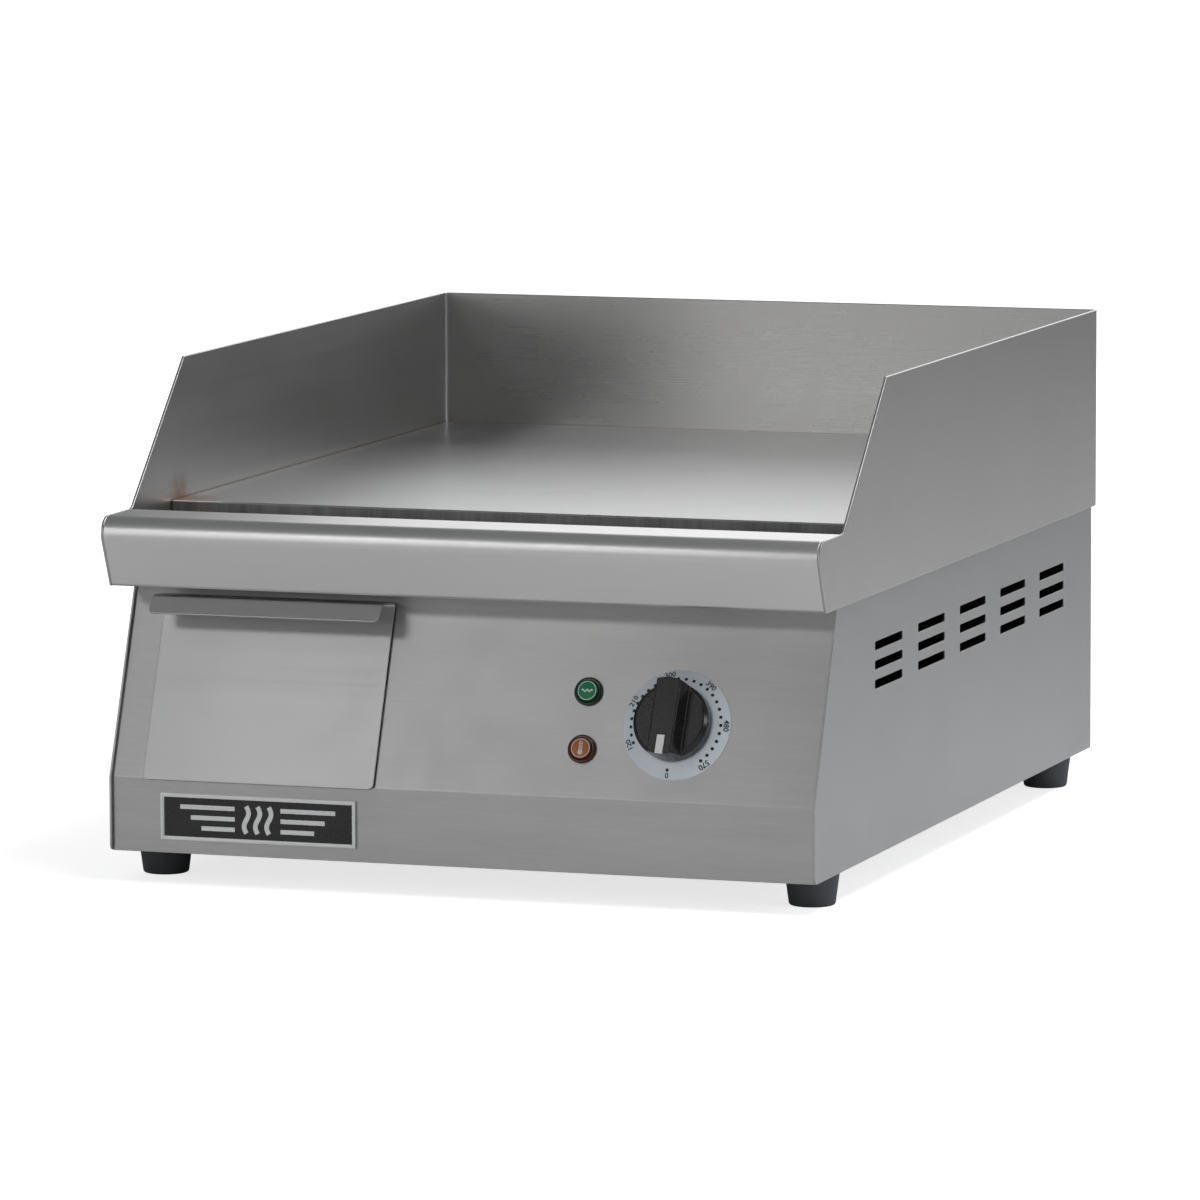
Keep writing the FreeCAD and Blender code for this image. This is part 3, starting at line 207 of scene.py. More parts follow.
def buildSeamGroup():
    # where the plate's weld to the guard was ground flush: a paler strip and a thin dark line at the wall
    tree, given, made = newGroup("groundSeam", "ShaderNodeTree", [
        ("Coordinates", "NodeSocketVector", None),
        ("Color", "NodeSocketColor", (0.5, 0.5, 0.5, 1)),
        ("Side", "NodeSocketFloat", 0.2),
        ("Back", "NodeSocketFloat", 0.26),
        ("Strip", "NodeSocketFloat", 0.009),
        ("Line", "NodeSocketFloat", 0.0009),
        ("Tone", "NodeSocketColor", (0.6, 0.56, 0.52, 1)),
    ], [("Color", "NodeSocketColor")])
    fadeStart = 0.85
    split = addNode(tree, "ShaderNodeSeparateXYZ", Vector=given["Coordinates"])
    sideGap = addMath(tree, "SUBTRACT", given["Side"], addMath(tree, "ABSOLUTE", split.outputs[0]))
    backGap = addMath(tree, "SUBTRACT", given["Back"], split.outputs[1])
    gap = addMath(tree, "MINIMUM", sideGap, backGap)
    color = given["Color"]
    for reach, most, tone in (("Strip", 0.45, given["Tone"]), ("Line", 0.85, (0.10, 0.09, 0.08, 1))):
        share = addMath(tree, "DIVIDE", gap, given[reach])
        color = addMix(tree, addRange(tree, share, fadeStart, 1.0, most, 0.0, smooth=True), color, tone)
    feedAll(tree, made, Color=color)
    return tree


grainGroup = buildGrainGroup()
marksGroup = buildMarksGroup()
tintGroup = buildTintGroup()
speckleGroup = buildSpeckleGroup()
seamGroup = buildSeamGroup()
print("shader groups built")


def newMaterial(name):
    made = bpy.data.materials.new(name)
    made.use_nodes = True
    tree = made.node_tree
    tree.nodes.clear()
    shader = tree.nodes.new("ShaderNodeBsdfPrincipled")
    addNode(tree, "ShaderNodeOutputMaterial", Surface=shader.outputs[0])
    return made, tree, shader, tree.nodes.new("ShaderNodeTexCoord").outputs["Object"]


def placeGroup(tree, group, **values):
    node = addNode(tree, "ShaderNodeGroup", node_tree=group)
    feedAll(tree, node.inputs, **values)
    return node.outputs


def grey(level, warm=0.0):
    return (level * (1 + warm), level, level * (1 - warm), 1)


def metalMaterial(name, stretch, light, dark, smooth, rough, depth=0.008, aniso=0.0, clouds=9.0,
                  marks=0.03, seam=None, tint=None, metallic=1.0):
    made, tree, shader, place = newMaterial(name)
    grain = placeGroup(tree, grainGroup, **{
        "Coordinates": place, "Stretch": stretch, "Light Tone": light, "Dark Tone": dark,
        "Smooth": smooth, "Rough": rough, "Cloud Size": clouds})
    wiped = placeGroup(tree, marksGroup, Coordinates=place, Amount=marks, Roughness=grain["Roughness"])
    color = grain["Color"]
    for group, values in ((seamGroup, seam), (tintGroup, tint)):
        if values:
            color = placeGroup(tree, group, Coordinates=place, Color=color, **values)["Color"]
    bump = addNode(tree, "ShaderNodeBump", Strength=0.6, Distance=depth * mm, Height=grain["Height"])
    feedAll(tree, shader.inputs, **{"Base Color": color, "Roughness": wiped["Roughness"],
                                    "Metallic": metallic, "Normal": bump.outputs[0]})
    if aniso:
        across = addNode(tree, "ShaderNodeTangent", direction_type="UV_MAP", uv_map="grain")
        feedAll(tree, shader.inputs, Anisotropic=aniso, Tangent=across.outputs[0])
    return made


def speckleMaterial(name, light, dark, smooth, rough, size=900.0, depth=0.03, specular=0.5):
    made, tree, shader, place = newMaterial(name)
    speckle = placeGroup(tree, speckleGroup, **{
        "Coordinates": place, "Light Tone": light, "Dark Tone": dark,
        "Smooth": smooth, "Rough": rough, "Speckle Size": size})
    bump = addNode(tree, "ShaderNodeBump", Strength=0.5, Distance=depth * mm, Height=speckle["Height"])
    feedAll(tree, shader.inputs, **{"Base Color": speckle["Color"], "Roughness": speckle["Roughness"],
                                    "Normal": bump.outputs[0], "Specular IOR Level": specular})
    return made


plateLow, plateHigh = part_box("griddle_plate")
weldSpot = (plateLow.x + 0.006, plateLow.y + 0.012, plateHigh.z)
guardTint = {"Spot": weldSpot, "Reach": 0.026}
plateTint = {"Spot": weldSpot, "Reach": 0.03}
plateSeam = {"Side": plateHigh.x, "Back": plateHigh.y}
alongX = (7.0, 1500.0, 1500.0)      # scratches per metre along each axis
alongY = (1500.0, 7.0, 1500.0)
sheetGloss = {"smooth": 0.34, "rough": 0.39, "aniso": 0.55}
sheetAniso = sheetGloss["aniso"]
steelX = metalMaterial("brushedSteelAcross", (45.0, 850.0, 850.0), grey(0.48, 0.006), grey(0.39, 0.006),
                       **sheetGloss)
steelY = metalMaterial("brushedSteelDeep", alongY, grey(0.45, -0.014), grey(0.41, -0.014), **sheetGloss)
guardX = metalMaterial("guardSteelAcross", alongX, grey(0.45, 0.015), grey(0.43, 0.015), 0.265, 0.285,
                       depth=0.003, aniso=sheetAniso, tint=guardTint)
guardY = metalMaterial("guardSteelDeep", alongY, grey(0.53, 0.004), grey(0.49, 0.004), 0.27, 0.32,
                       aniso=sheetAniso, tint=guardTint)
railSteel = metalMaterial("railSteelAcross", alongX, grey(0.70, 0.002), grey(0.66, 0.002), 0.30, 0.34,
                          aniso=sheetAniso)
drawerSteel = metalMaterial("drawerSteel", alongX, grey(0.53), grey(0.49), 0.34, 0.40, aniso=sheetAniso)
plateSteel = metalMaterial("groundPlate", (14.0, 1200.0, 1200.0), grey(0.42, -0.01), grey(0.40, -0.01),
                           0.27, 0.29, depth=0.0012, clouds=6.0, marks=0.015, tint=plateTint, seam=plateSeam)
# the plate's front and side edges: the vertical sawn marks are real, but the dark tones (0.16 to 0.34) are
# painted shade on the front edge
plateFrontPaintedShade = metalMaterial("plateSawnEdgePaintedShade", (600.0, 600.0, 20.0), grey(0.34), grey(0.16), 0.34, 0.5,
                           depth=0.05, clouds=30.0)
troughSteel = metalMaterial("troughSteel", (12.0, 400.0, 400.0), grey(0.5), grey(0.4), 0.3, 0.45)
zincMetal = metalMaterial("zincPlate", (500.0, 500.0, 500.0), grey(0.66, 0.02), grey(0.52, 0.03), 0.22, 0.4)
sheathMetal = metalMaterial("heatDarkSheath", (300.0, 300.0, 300.0), (0.20, 0.17, 0.14, 1),
                            (0.08, 0.06, 0.05, 1), 0.4, 0.6)
copperMetal = metalMaterial("drawnCopper", (200.0, 200.0, 200.0), (0.75, 0.42, 0.27, 1),
                            (0.52, 0.25, 0.14, 1), 0.22, 0.42)
galvanised = metalMaterial("zincSheet", (90.0, 90.0, 90.0), grey(0.55, -0.02), grey(0.34, -0.02), 0.34, 0.55,
                           clouds=60.0)
rubber = speckleMaterial("footRubber", grey(0.085, -0.1), grey(0.065, -0.1), 0.55, 0.75, 1200.0, 0.05)
knobPlastic = speckleMaterial("knobPlastic", grey(0.016), grey(0.009), 0.20, 0.30, 1600.0, 0.010,
                              specular=0.4)
pointerPlastic = speckleMaterial("pointerWhite", grey(0.82), grey(0.70), 0.4, 0.55, 1500.0)
blackMoulding = speckleMaterial("blackMoulding", grey(0.05), grey(0.03), 0.4, 0.6)
glandNylon = speckleMaterial("glandNylon", grey(0.05), grey(0.03), 0.45, 0.6, 1100.0)
ceramic = speckleMaterial("terminalCeramic", grey(0.80, 0.03), grey(0.66, 0.05), 0.5, 0.7, 700.0)
woolMat = speckleMaterial("mineralWool", (0.62, 0.55, 0.36, 1), (0.34, 0.29, 0.17, 1), 0.85, 1.0, 420.0, 0.6)
blueSleeve = speckleMaterial("leadBlue", (0.09, 0.18, 0.5, 1), (0.05, 0.1, 0.34, 1), 0.4, 0.55)
brownSleeve = speckleMaterial("leadBrown", (0.22, 0.11, 0.06, 1), (0.12, 0.06, 0.03, 1), 0.4, 0.55)
greenSleeve = speckleMaterial("leadGreen", (0.25, 0.42, 0.08, 1), (0.12, 0.26, 0.04, 1), 0.4, 0.55)
whiteSleeve = speckleMaterial("leadWhite", grey(0.8), grey(0.55), 0.6, 0.8, 2400.0, 0.1)
dialInk = speckleMaterial("dialInk", grey(0.02), grey(0.008), 0.35, 0.5)
lampInk = speckleMaterial("lampInk", grey(0.85), grey(0.65), 0.35, 0.5)
badgeField = speckleMaterial("badgeField", grey(0.02), grey(0.007), 0.22, 0.34, 700.0, 0.01)
badgeSilver = metalMaterial("badgeSilver", (9.0, 900.0, 900.0), grey(0.80, -0.01), grey(0.66, -0.01),
                            0.25, 0.38)
dialMetal = metalMaterial("dialAluminium", (14.0, 1800.0, 1800.0), (0.80, 0.86, 0.93, 1),
                          (0.74, 0.79, 0.85, 1), 0.5, 0.6, depth=0.01, metallic=0.25)


def lensMaterial(name, centre, core, rim, lit):
    # coloured moulding that is dark at its rim and lets the lamp show in the middle
    made, tree, shader, place = newMaterial(name)
    fadeStart, fadeEnd, facet = 3.6 * mm, 6.3 * mm, 1.1 * mm
    side = addVectorMath(tree, "CROSS_PRODUCT", addVectorMath(tree, "SUBTRACT", place, centre), panelOut)
    radius = addVectorMath(tree, "LENGTH", side, out="Value")
    fade = addRange(tree, radius, fadeStart, fadeEnd, smooth=True)
    facets = addNode(tree, "ShaderNodeTexChecker", Vector=place, Scale=1.0 / facet,
                     Color1=(1, 1, 1, 1), Color2=(0.72, 0.72, 0.72, 1))
    shaded = addMix(tree, 0.5, addMix(tree, fade, core, rim), facets.outputs["Color"], "MULTIPLY")
    feedAll(tree, shader.inputs, **{
        "Base Color": shaded, "Emission Color": addMix(tree, fade, lit, (0, 0, 0, 1)),
        "Emission Strength": 0.2,
        "Roughness": 0.16, "Coat Weight": 0.2, "Coat Roughness": 0.1, "Specular IOR Level": 0.3})
    return made


print("materials built")


def weldedCopy(node, flat=0.35):
    bm = bmesh.new()
    bm.from_mesh(nodes[node].data)
    bmesh.ops.remove_doubles(bm, verts=bm.verts, dist=0.004 * mm)
    bmesh.ops.dissolve_degenerate(bm, edges=bm.edges, dist=0.002 * mm)
    bmesh.ops.dissolve_limit(bm, angle_limit=math.radians(flat), verts=bm.verts, edges=bm.edges)
    return bm


def toMesh(name, bm):
    mesh = bpy.data.meshes.new(name)
    bm.to_mesh(mesh)
    bm.free()
    return mesh


def addObject(name, data):
    made = bpy.data.objects.new(name, data)
    bpy.context.scene.collection.objects.link(made)
    return made


def finalMesh(holder, *helpers):
    # the mesh as its modifiers or its text leave it; the holder and its helpers go
    graph = bpy.context.evaluated_depsgraph_get()
    graph.update()
    mesh = bpy.data.meshes.new_from_object(holder.evaluated_get(graph))
    for used in (*helpers, holder):
        bpy.data.objects.remove(used)
    return mesh


def smoothFaces(mesh, angle):
    for face in mesh.polygons:
        face.use_smooth = True
    mesh.set_sharp_from_angle(angle=math.radians(angle))


def settle(piece, body, stands):
    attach(piece, body)
    if stands:
        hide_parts(*stands)
    return piece


def layGrain(mesh, grainOf):
    # a map whose first direction runs across the scratches, for the stretched gloss
    layer = mesh.uv_layers.new(name="grain")
    for face in mesh.polygons:
        grain = grainOf(face)
        along = grain - face.normal * grain.dot(face.normal)
        if along.length < 1e-4:
            along = face.normal.orthogonal()
        along.normalize()
        across = face.normal.cross(along)
        for corner in face.loop_indices:
            spot = mesh.vertices[mesh.loops[corner].vertex_index].co
            layer.data[corner].uv = (spot.dot(across) * 4, spot.dot(along) * 4)


def sheetGrain(face):
    return Vector((0, 1, 0)) if abs(face.normal.x) > 0.7 else Vector((1, 0, 0))


def bySide(face):
    return 1 if abs(face.normal.x) > 0.7 else 0


def finishSheet(name, bm, body, materials, pick=None, edge=0.3, segments=2, sharp=32.0, stands=(),
                grainOf=sheetGrain):
    # a piece from a CAD shape, with eased edges
    mesh = toMesh(name, bm)
    for material in materials:
        mesh.materials.append(material)
    if pick is not None:
        for face in mesh.polygons:
            face.material_index = pick(face)
    layGrain(mesh, grainOf)
    smoothFaces(mesh, sharp)
    piece = addObject(name, mesh)
    bevel = piece.modifiers.new("easedEdge", "BEVEL")
    bevel.width = edge * mm
    bevel.segments = segments
    bevel.limit_method = "ANGLE"
    bevel.angle_limit = math.radians(sharp)
    bevel.use_clamp_overlap = False
    bevel.harden_normals = False
    weighted = piece.modifiers.new("flatFaces", "WEIGHTED_NORMAL")
    weighted.keep_sharp = True
    weighted.weight = 80
    return settle(piece, body, stands)


sheetPieces = {
    "frontPanelSheet": {"node": "front_panel", "edge": 0.2, "finish": (steelX, steelY)},
    "railSheet": {"node": "front_rail", "edge": 0.25, "finish": (railSteel, railSteel)},
    "guardSheet": {"node": "splash_guard", "edge": 0.35, "finish": (guardX, guardY)},
    "leftSideSheet": {"node": "side_panel_left", "edge": 0.25, "finish": (steelX, steelY)},
    "rightSideSheet": {"node": "side_panel_right", "edge": 0.25, "finish": (steelX, steelY)},
    "rearSheet": {"node": "rear_panel", "edge": 0.2, "finish": (steelX, steelY)},
    "drawerFace": {"node": "drawer_front", "edge": 0.25, "finish": (drawerSteel, drawerSteel),
                   "body": "drawer"},
    "drawerBox": {"node": "drawer_tray", "edge": 0.2, "finish": (drawerSteel, drawerSteel), "body": "drawer"},
}
for name, given in sheetPieces.items():
    finishSheet(name, weldedCopy(given["node"]), given.get("body", "housing"), given["finish"], bySide,
                edge=given["edge"], stands=(given["node"],))
print("sheet pieces made")


def plateSide(face):
    return 1 if face.normal.z < 0.6 else 0


finishSheet("cookingPlate", weldedCopy("griddle_plate"), "housing", (plateSteel, plateFrontPaintedShade), plateSide,
            edge=0.25, stands=("griddle_plate",), grainOf=lambda face: Vector((1, 0, 0)))
finishSheet("greaseTrough", weldedCopy("grease_trough"), "housing", (troughSteel,),
            edge=0.2, stands=("grease_trough",))

# the dial: a shallow cone with printed dots and numbers
dial = {
    "ringRadius": 29.5, "boreRadius": 18.5, "landRadius": 21.0,      # mm
    "edge": 0.6, "thickness": 3.2,                                   # at the rim and at the land
    "dotCircle": 24.6, "dotRadius": 0.9, "dotPitch": 10.24, "dots": 26,
    "numberCircle": 27.2, "numberHeight": 2.9, "print": 0.04,
    "off": 184.5, "first": 244.0, "numberStep": 51.2,          # degrees clockwise from the top
    "numbers": ("120", "210", "300", "390", "480", "570"),
}


def revolve(profile, steps=96, closedProfile=True):
    # profile is (radius, height) in millimetres, turned round the local z axis
    bm = bmesh.new()
    rings = []
    for radius, height in profile:
        if radius < 1e-6:
            rings.append([bm.verts.new((0, 0, height * mm))])
        else:
            rings.append([bm.verts.new((radius * mm * math.cos(2 * math.pi * i / steps),
                                        radius * mm * math.sin(2 * math.pi * i / steps), height * mm))
                          for i in range(steps)])
    pairs = list(zip(rings, rings[1:]))
    if closedProfile:
        pairs.append((rings[-1], rings[0]))
    for low, high in pairs:
        for i in range(steps):
            j = (i + 1) % steps
            if len(low) == 1 and len(high) == 1:
                break
            if len(low) == 1:
                bm.faces.new((low[0], high[j], high[i]))
            elif len(high) == 1:
                bm.faces.new((low[i], low[j], high[0]))
            else:
                bm.faces.new((low[i], low[j], high[j], high[i]))
    bmesh.ops.remove_doubles(bm, verts=bm.verts, dist=0.0005 * mm)
    bmesh.ops.recalc_face_normals(bm, faces=bm.faces)
    return bm


def addPiece(name, bm, body, materials, place=None, stands=(), smoothAngle=35.0, weighted=True):
    if place is not None:
        bm.transform(place)
    mesh = toMesh(name, bm)
    for material in materials:
        mesh.materials.append(material)
    smoothFaces(mesh, smoothAngle)
    piece = addObject(name, mesh)
    if weighted:
        piece.modifiers.new("flatFaces", "WEIGHTED_NORMAL").keep_sharp = True
    return settle(piece, body, stands)



ringTop = dial["thickness"]
coneTilt = math.atan2(ringTop - dial["edge"], dial["ringRadius"] - dial["landRadius"])
addPiece("dialRing", revolve([
    (dial["boreRadius"], 0), (dial["ringRadius"], 0), (dial["ringRadius"], dial["edge"] - 0.15),
    (dial["ringRadius"] - 0.15, dial["edge"]), (dial["landRadius"] + 0.15, ringTop - 0.06),
    (dial["landRadius"] - 0.15, ringTop), (dial["boreRadius"] + 0.2, ringTop),
    (dial["boreRadius"], ringTop - 0.2),
], 128), "housing", (dialMetal,), panelMatrix(0, 0), ("dial_ring",))


def coneHeight(radius):
    return (dial["edge"] + (dial["ringRadius"] - radius) * math.tan(coneTilt)) * mm


def inkInstances(tree, instances, material, made):
    solid = addNode(tree, "GeometryNodeRealizeInstances", Geometry=instances)
    inked = addNode(tree, "GeometryNodeSetMaterial", Geometry=solid.outputs[0], Material=material)
    feedAll(tree, made, Geometry=inked.outputs[0])
    return tree


def buildDotTree():
    # a row of printed dots on a circle: one disc, instanced from a start angle at an even pitch
    tree, given, made = newGroup("dotScale", "GeometryNodeTree", [
        ("Geometry", "NodeSocketGeometry", None),
        ("Dots", "NodeSocketInt", 10),
        ("Circle", "NodeSocketFloat", 0.02),
        ("Dot Radius", "NodeSocketFloat", 0.001),
        ("Start", "NodeSocketFloat", 0.0),
        ("Pitch", "NodeSocketFloat", 0.1),
        ("Thickness", "NodeSocketFloat", 0.0001),
        ("Tilt", "NodeSocketFloat", 0.0),
        ("Ink", "NodeSocketMaterial", None),
    ], [("Geometry", "NodeSocketGeometry")])
    index = tree.nodes.new("GeometryNodeInputIndex").outputs[0]
    angle = addMath(tree, "MULTIPLY_ADD", index, given["Pitch"], given["Start"])
    unit = addNode(tree, "ShaderNodeCombineXYZ", X=addMath(tree, "SINE", angle),
                   Y=addMath(tree, "COSINE", angle))
    spot = addNode(tree, "ShaderNodeVectorMath", operation="SCALE", Vector=unit.outputs[0],
                   Scale=given["Circle"])
    points = addNode(tree, "GeometryNodePoints", Count=given["Dots"], Position=spot.outputs[0])
    disc = addNode(tree, "GeometryNodeMeshCylinder", Vertices=20, Radius=given["Dot Radius"],
                   Depth=given["Thickness"])
    lean = addNode(tree, "ShaderNodeCombineXYZ", X=addMath(tree, "MULTIPLY", given["Tilt"], -1.0),
                   Z=addMath(tree, "MULTIPLY", angle, -1.0))
    facing = tree.nodes.new("FunctionNodeEulerToRotation")
    feed(tree, lean.outputs[0], facing.inputs[0])
    placed = addNode(tree, "GeometryNodeInstanceOnPoints", Points=points.outputs[0],
                     Instance=disc.outputs["Mesh"], Rotation=facing.outputs[0])
    return inkInstances(tree, placed.outputs[0], given["Ink"], made)


def runTree(name, tree, start, **values):
    # evaluates the tree on a start mesh and hands back the plain mesh
    holder = addObject(name + "Holder", start)
    modifier = holder.modifiers.new("rule", "NODES")
    modifier.node_group = tree
    labels = {s.name: s.identifier for s in tree.interface.items_tree
              if s.item_type == "SOCKET" and s.in_out == "INPUT"}
    for label, value in values.items():
        modifier[labels[label.replace("_", " ")]] = value
    mesh = finalMesh(holder)
    mesh.name = name
    return mesh


def meshPiece(name, mesh, body, place=None, stands=()):
    if place is not None:
        mesh.transform(place)
    return settle(addObject(name, mesh), body, stands)


dotTree = buildDotTree()
dotPlace = panelMatrix(0, 0, coneHeight(dial["dotCircle"]))
for name, count, start in (("scaleDots", dial["dots"], dial["first"]), ("offDot", 1, dial["off"])):
    dots = runTree(name, dotTree, bpy.data.meshes.new(name + "Start"), Dots=count,
                   Circle=dial["dotCircle"] * mm, Dot_Radius=dial["dotRadius"] * mm,
                   Start=math.radians(start), Pitch=math.radians(dial["dotPitch"]),
                   Thickness=2 * dial["print"] * mm, Tilt=coneTilt, Ink=dialInk)
    meshPiece(name, dots, "housing", dotPlace)


def numberMesh(text, height, thickness):
    words = bpy.data.curves.new("number" + text, "FONT")
    words.body = text
    words.size = height / 0.7
    words.align_x = "CENTER"
    words.align_y = "CENTER"
    words.extrude = thickness
    words.offset = 0.00007
    words.resolution_u = 3
    return finalMesh(addObject("number" + text, words))


def dialNumbers():
    marks = [("0", dial["off"])]
    marks += [(text, dial["first"] + i * dial["numberStep"]) for i, text in enumerate(dial["numbers"])]
    bm = bmesh.new()
    for text, clock in marks:
        angle = math.radians(clock)
        mesh = numberMesh(text, dial["numberHeight"] * mm, dial["print"] * mm)
        spot = Vector((math.sin(angle), math.cos(angle), 0)) * dial["numberCircle"] * mm
        mesh.transform(Matrix.Translation(spot) @ Matrix.Rotation(-angle, 4, "Z")
                       @ Matrix.Rotation(-coneTilt, 4, "X"))
        bm.from_mesh(mesh)
        bpy.data.meshes.remove(mesh)
    return bm


addPiece("dialNumbers", dialNumbers(), "housing", (dialInk,),
         panelMatrix(0, 0, coneHeight(dial["numberCircle"])), weighted=False)
print("dial made")

knob = {"easing": 0.45, "pointerEasing": 0.15}
finishSheet("knobCap", weldedCopy("thermostat_knob", 0.1), "knob", (knobPlastic,), edge=knob["easing"],
            segments=3, sharp=28.0, stands=("thermostat_knob",))
finishSheet("knobPointer", weldedCopy("knob_pointer"), "knob", (pointerPlastic,), edge=knob["pointerEasing"],
            stands=("knob_pointer",))

lamp = {
    "rimRadius": 7.7, "rimHeight": 1.8, "ringRadius": 5.9, "domeHeight": 3.3, "crownRadius": 5.0,
    "printOut": 5.1, "printIn": 4.7, "print": 0.05,
}


def lampProfile():
    points = [(0, 0.2), (lamp["rimRadius"] - 0.3, 0.0), (lamp["rimRadius"], 0.3), (lamp["rimRadius"], 1.1)]
    for i in range(1, 7):
        a = math.radians(15 * i)
        points.append((lamp["rimRadius"] - 0.9 + 0.9 * math.cos(a), 1.1 + 0.9 * math.sin(a)))
    points += [(lamp["ringRadius"] + 0.35, 1.95), (lamp["ringRadius"], 1.55)]
    for i in range(0, 7):
        a = math.radians(15 * i)
        points.append((lamp["crownRadius"] + 0.75 * math.cos(a),
                       lamp["domeHeight"] - 0.75 + 0.75 * math.sin(a)))
    points.append((0, lamp["domeHeight"]))
    return points


def wavyBar(length, height, waves, width, thick, steps=40):
    # a flat strip that follows a sine curve along x
    bm = bmesh.new()
    rows = []
    for i in range(steps + 1):
        x = length * (i / steps - 0.5)
        phase = 2 * math.pi * waves * i / steps
        y = height * math.sin(phase)
        slope = height * math.cos(phase) * 2 * math.pi * waves / length
        side = Vector((-slope, 1, 0)).normalized() * width / 2
        rows.append([bm.verts.new((x + side.x * s, y + side.y * s, z)) for s, z in
                     ((-1, 0), (1, 0), (1, thick), (-1, thick))])
    for a, b in zip(rows, rows[1:]):
        for i in range(4):
            j = (i + 1) % 4
            bm.faces.new((a[i], b[i], b[j], a[j]))
    bm.faces.new(rows[0])
    bm.faces.new(list(reversed(rows[-1])))
    bmesh.ops.recalc_face_normals(bm, faces=bm.faces)
    return bm


def discMesh(radius, inner, thick, steps=48):
    if inner > 0:
        return revolve([(inner, 0), (radius, 0), (radius, thick), (inner, thick)], steps)
    return revolve([(0, 0), (radius, 0), (radius, thick), (0, thick)], steps)


def joinInto(target, extra, matrix):
    extra.transform(matrix)
    mesh = toMesh("part", extra)
    target.from_mesh(mesh)
    bpy.data.meshes.remove(mesh)


def lampPrint(mark):
    bm = discMesh(lamp["printOut"], lamp["printIn"], lamp["print"])
    if mark == "wave":
        joinInto(bm, wavyBar(6.0 * mm, 0.55 * mm, 2.5, 0.7 * mm, lamp["print"] * mm), Matrix.Identity(4))
    else:
        joinInto(bm, discMesh(1.35, 0.75, lamp["print"], 32), Matrix.Translation((0, -2.1 * mm, 0)))
        for x in (-0.75, 0.75):
            joinInto(bm, wavyBar(4.2 * mm, 0, 1, 0.4 * mm, lamp["print"] * mm, 2),
                     Matrix.Translation((x * mm, 0.9 * mm, 0)) @ Matrix.Rotation(math.pi / 2, 4, "Z"))
        joinInto(bm, discMesh(0.95, 0.55, lamp["print"], 24), Matrix.Translation((0, 3.0 * mm, 0)))
        joinInto(bm, wavyBar(3.0 * mm, 0, 1, 0.35 * mm, lamp["print"] * mm, 2),
                 Matrix.Translation((0, 0.2 * mm, 0)) @ Matrix.Rotation(math.pi / 2, 4, "Z"))
        joinInto(bm, discMesh(0.62, 0, lamp["print"], 20), Matrix.Translation((0, -2.1 * mm, 0)))
    return bm


lamps = {
    "power": {"node": "power_light_lens", "slot": "green_lens", "core": (0.0, 0.10, 0.035, 1),
              "rim": (0.0, 0.03, 0.014, 1), "lit": (0.0, 0.22, 0.09, 1), "mark": "wave"},
    "heat": {"node": "heat_light_lens", "slot": "amber_lens", "core": (0.24, 0.062, 0.0015, 1),
             "rim": (0.07, 0.017, 0.002, 1), "lit": (0.36, 0.10, 0.008, 1), "mark": "gauge"},
}
for name, given in lamps.items():
    low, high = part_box(given["node"])
    middle = (low + high) / 2
    offset = middle - dialPoint
    x, y = offset.x, offset.dot(panelUp)
    place = panelMatrix(x, y)
    material = lensMaterial(name + "Lens", place.translation, given["core"], given["rim"], given["lit"])
    addPiece(name + "Lens", revolve(lampProfile(), 72, False), "housing", (material,), place,
             (given["node"],))
    addPiece(name + "Print", lampPrint(given["mark"]), "housing", (lampInk,),
             panelMatrix(x, y, (lamp["domeHeight"] - 0.01) * mm), weighted=False)
print("indicator lights made")

# the badge: a bright rim round a black field, with plain heat lines
badge = {
    "rim": 2.0, "rimRise": 0.45, "raised": 0.18,
    "waveHeight": 14.5, "waveSwing": 1.3, "waveWidth": 2.6, "wavePitch": 6.4, "waves": 3,
    "barWidth": 2.4, "barPitch": 5.6, "bars": 3, "barLong": 31.0, "barStep": 6.0, "barGap": 13.0,
}
badgeLow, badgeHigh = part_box("badge_plate")
badgeCentre = (badgeLow + badgeHigh) / 2
badgeSize = badgeHigh - badgeLow
badgePlace = (Matrix.Translation((badgeCentre.x, badgeHigh.y, badgeCentre.z))
              @ Matrix.Rotation(math.pi / 2, 4, "X"))


def boxMesh(width, height, low, high):
    bm = bmesh.new()
    bmesh.ops.create_cube(bm, size=1.0)
    bm.transform(Matrix.Translation((0, 0, (low + high) / 2))
                 @ Matrix.Diagonal((width, height, high - low, 1)))
    return bm


def badgeRimMesh():
    width, height, thick = badgeSize.x, badgeSize.z, badgeSize.y
    rim, rise = badge["rim"] * mm, badge["rimRise"] * mm
    bm = boxMesh(width, height, 0, thick - rise)
    face = max(bm.faces, key=lambda f: f.calc_center_median().z)
    inset = bmesh.ops.inset_region(bm, faces=[face], thickness=rim)["faces"]
    lifted = bmesh.ops.extrude_face_region(bm, geom=inset)["geom"]
    ups = [v for v in lifted if isinstance(v, bmesh.types.BMVert)]
    bmesh.ops.translate(bm, verts=ups, vec=(0, 0, rise))
    bmesh.ops.bevel(bm, geom=bm.edges[:], offset=0.12 * mm, segments=2, profile=0.5, affect="EDGES")
    return bm


def emblemMesh():
    thick = badge["raised"] * mm
    bm = bmesh.new()
    first = -(badge["waves"] - 1) / 2
    for i in range(badge["waves"]):
        wave = wavyBar(badge["waveHeight"] * mm, badge["waveSwing"] * mm, 1.0, badge["waveWidth"] * mm,
                       thick, 36)
        x = (first + i) * badge["wavePitch"] * mm
        joinInto(bm, wave, Matrix.Translation((x, 0, 0)) @ Matrix.Rotation(math.pi / 2, 4, "Z"))
    for side in (-1, 1):
        for i in range(badge["bars"]):
            length = (badge["barLong"] - badge["barStep"] * i) * mm
            bar = boxMesh(length, badge["barWidth"] * mm, 0, thick)
            x = side * (badge["barGap"] * mm + length / 2)
            y = (1 - i) * badge["barPitch"] * mm
            joinInto(bm, bar, Matrix.Translation((x, y, 0)))
    return bm


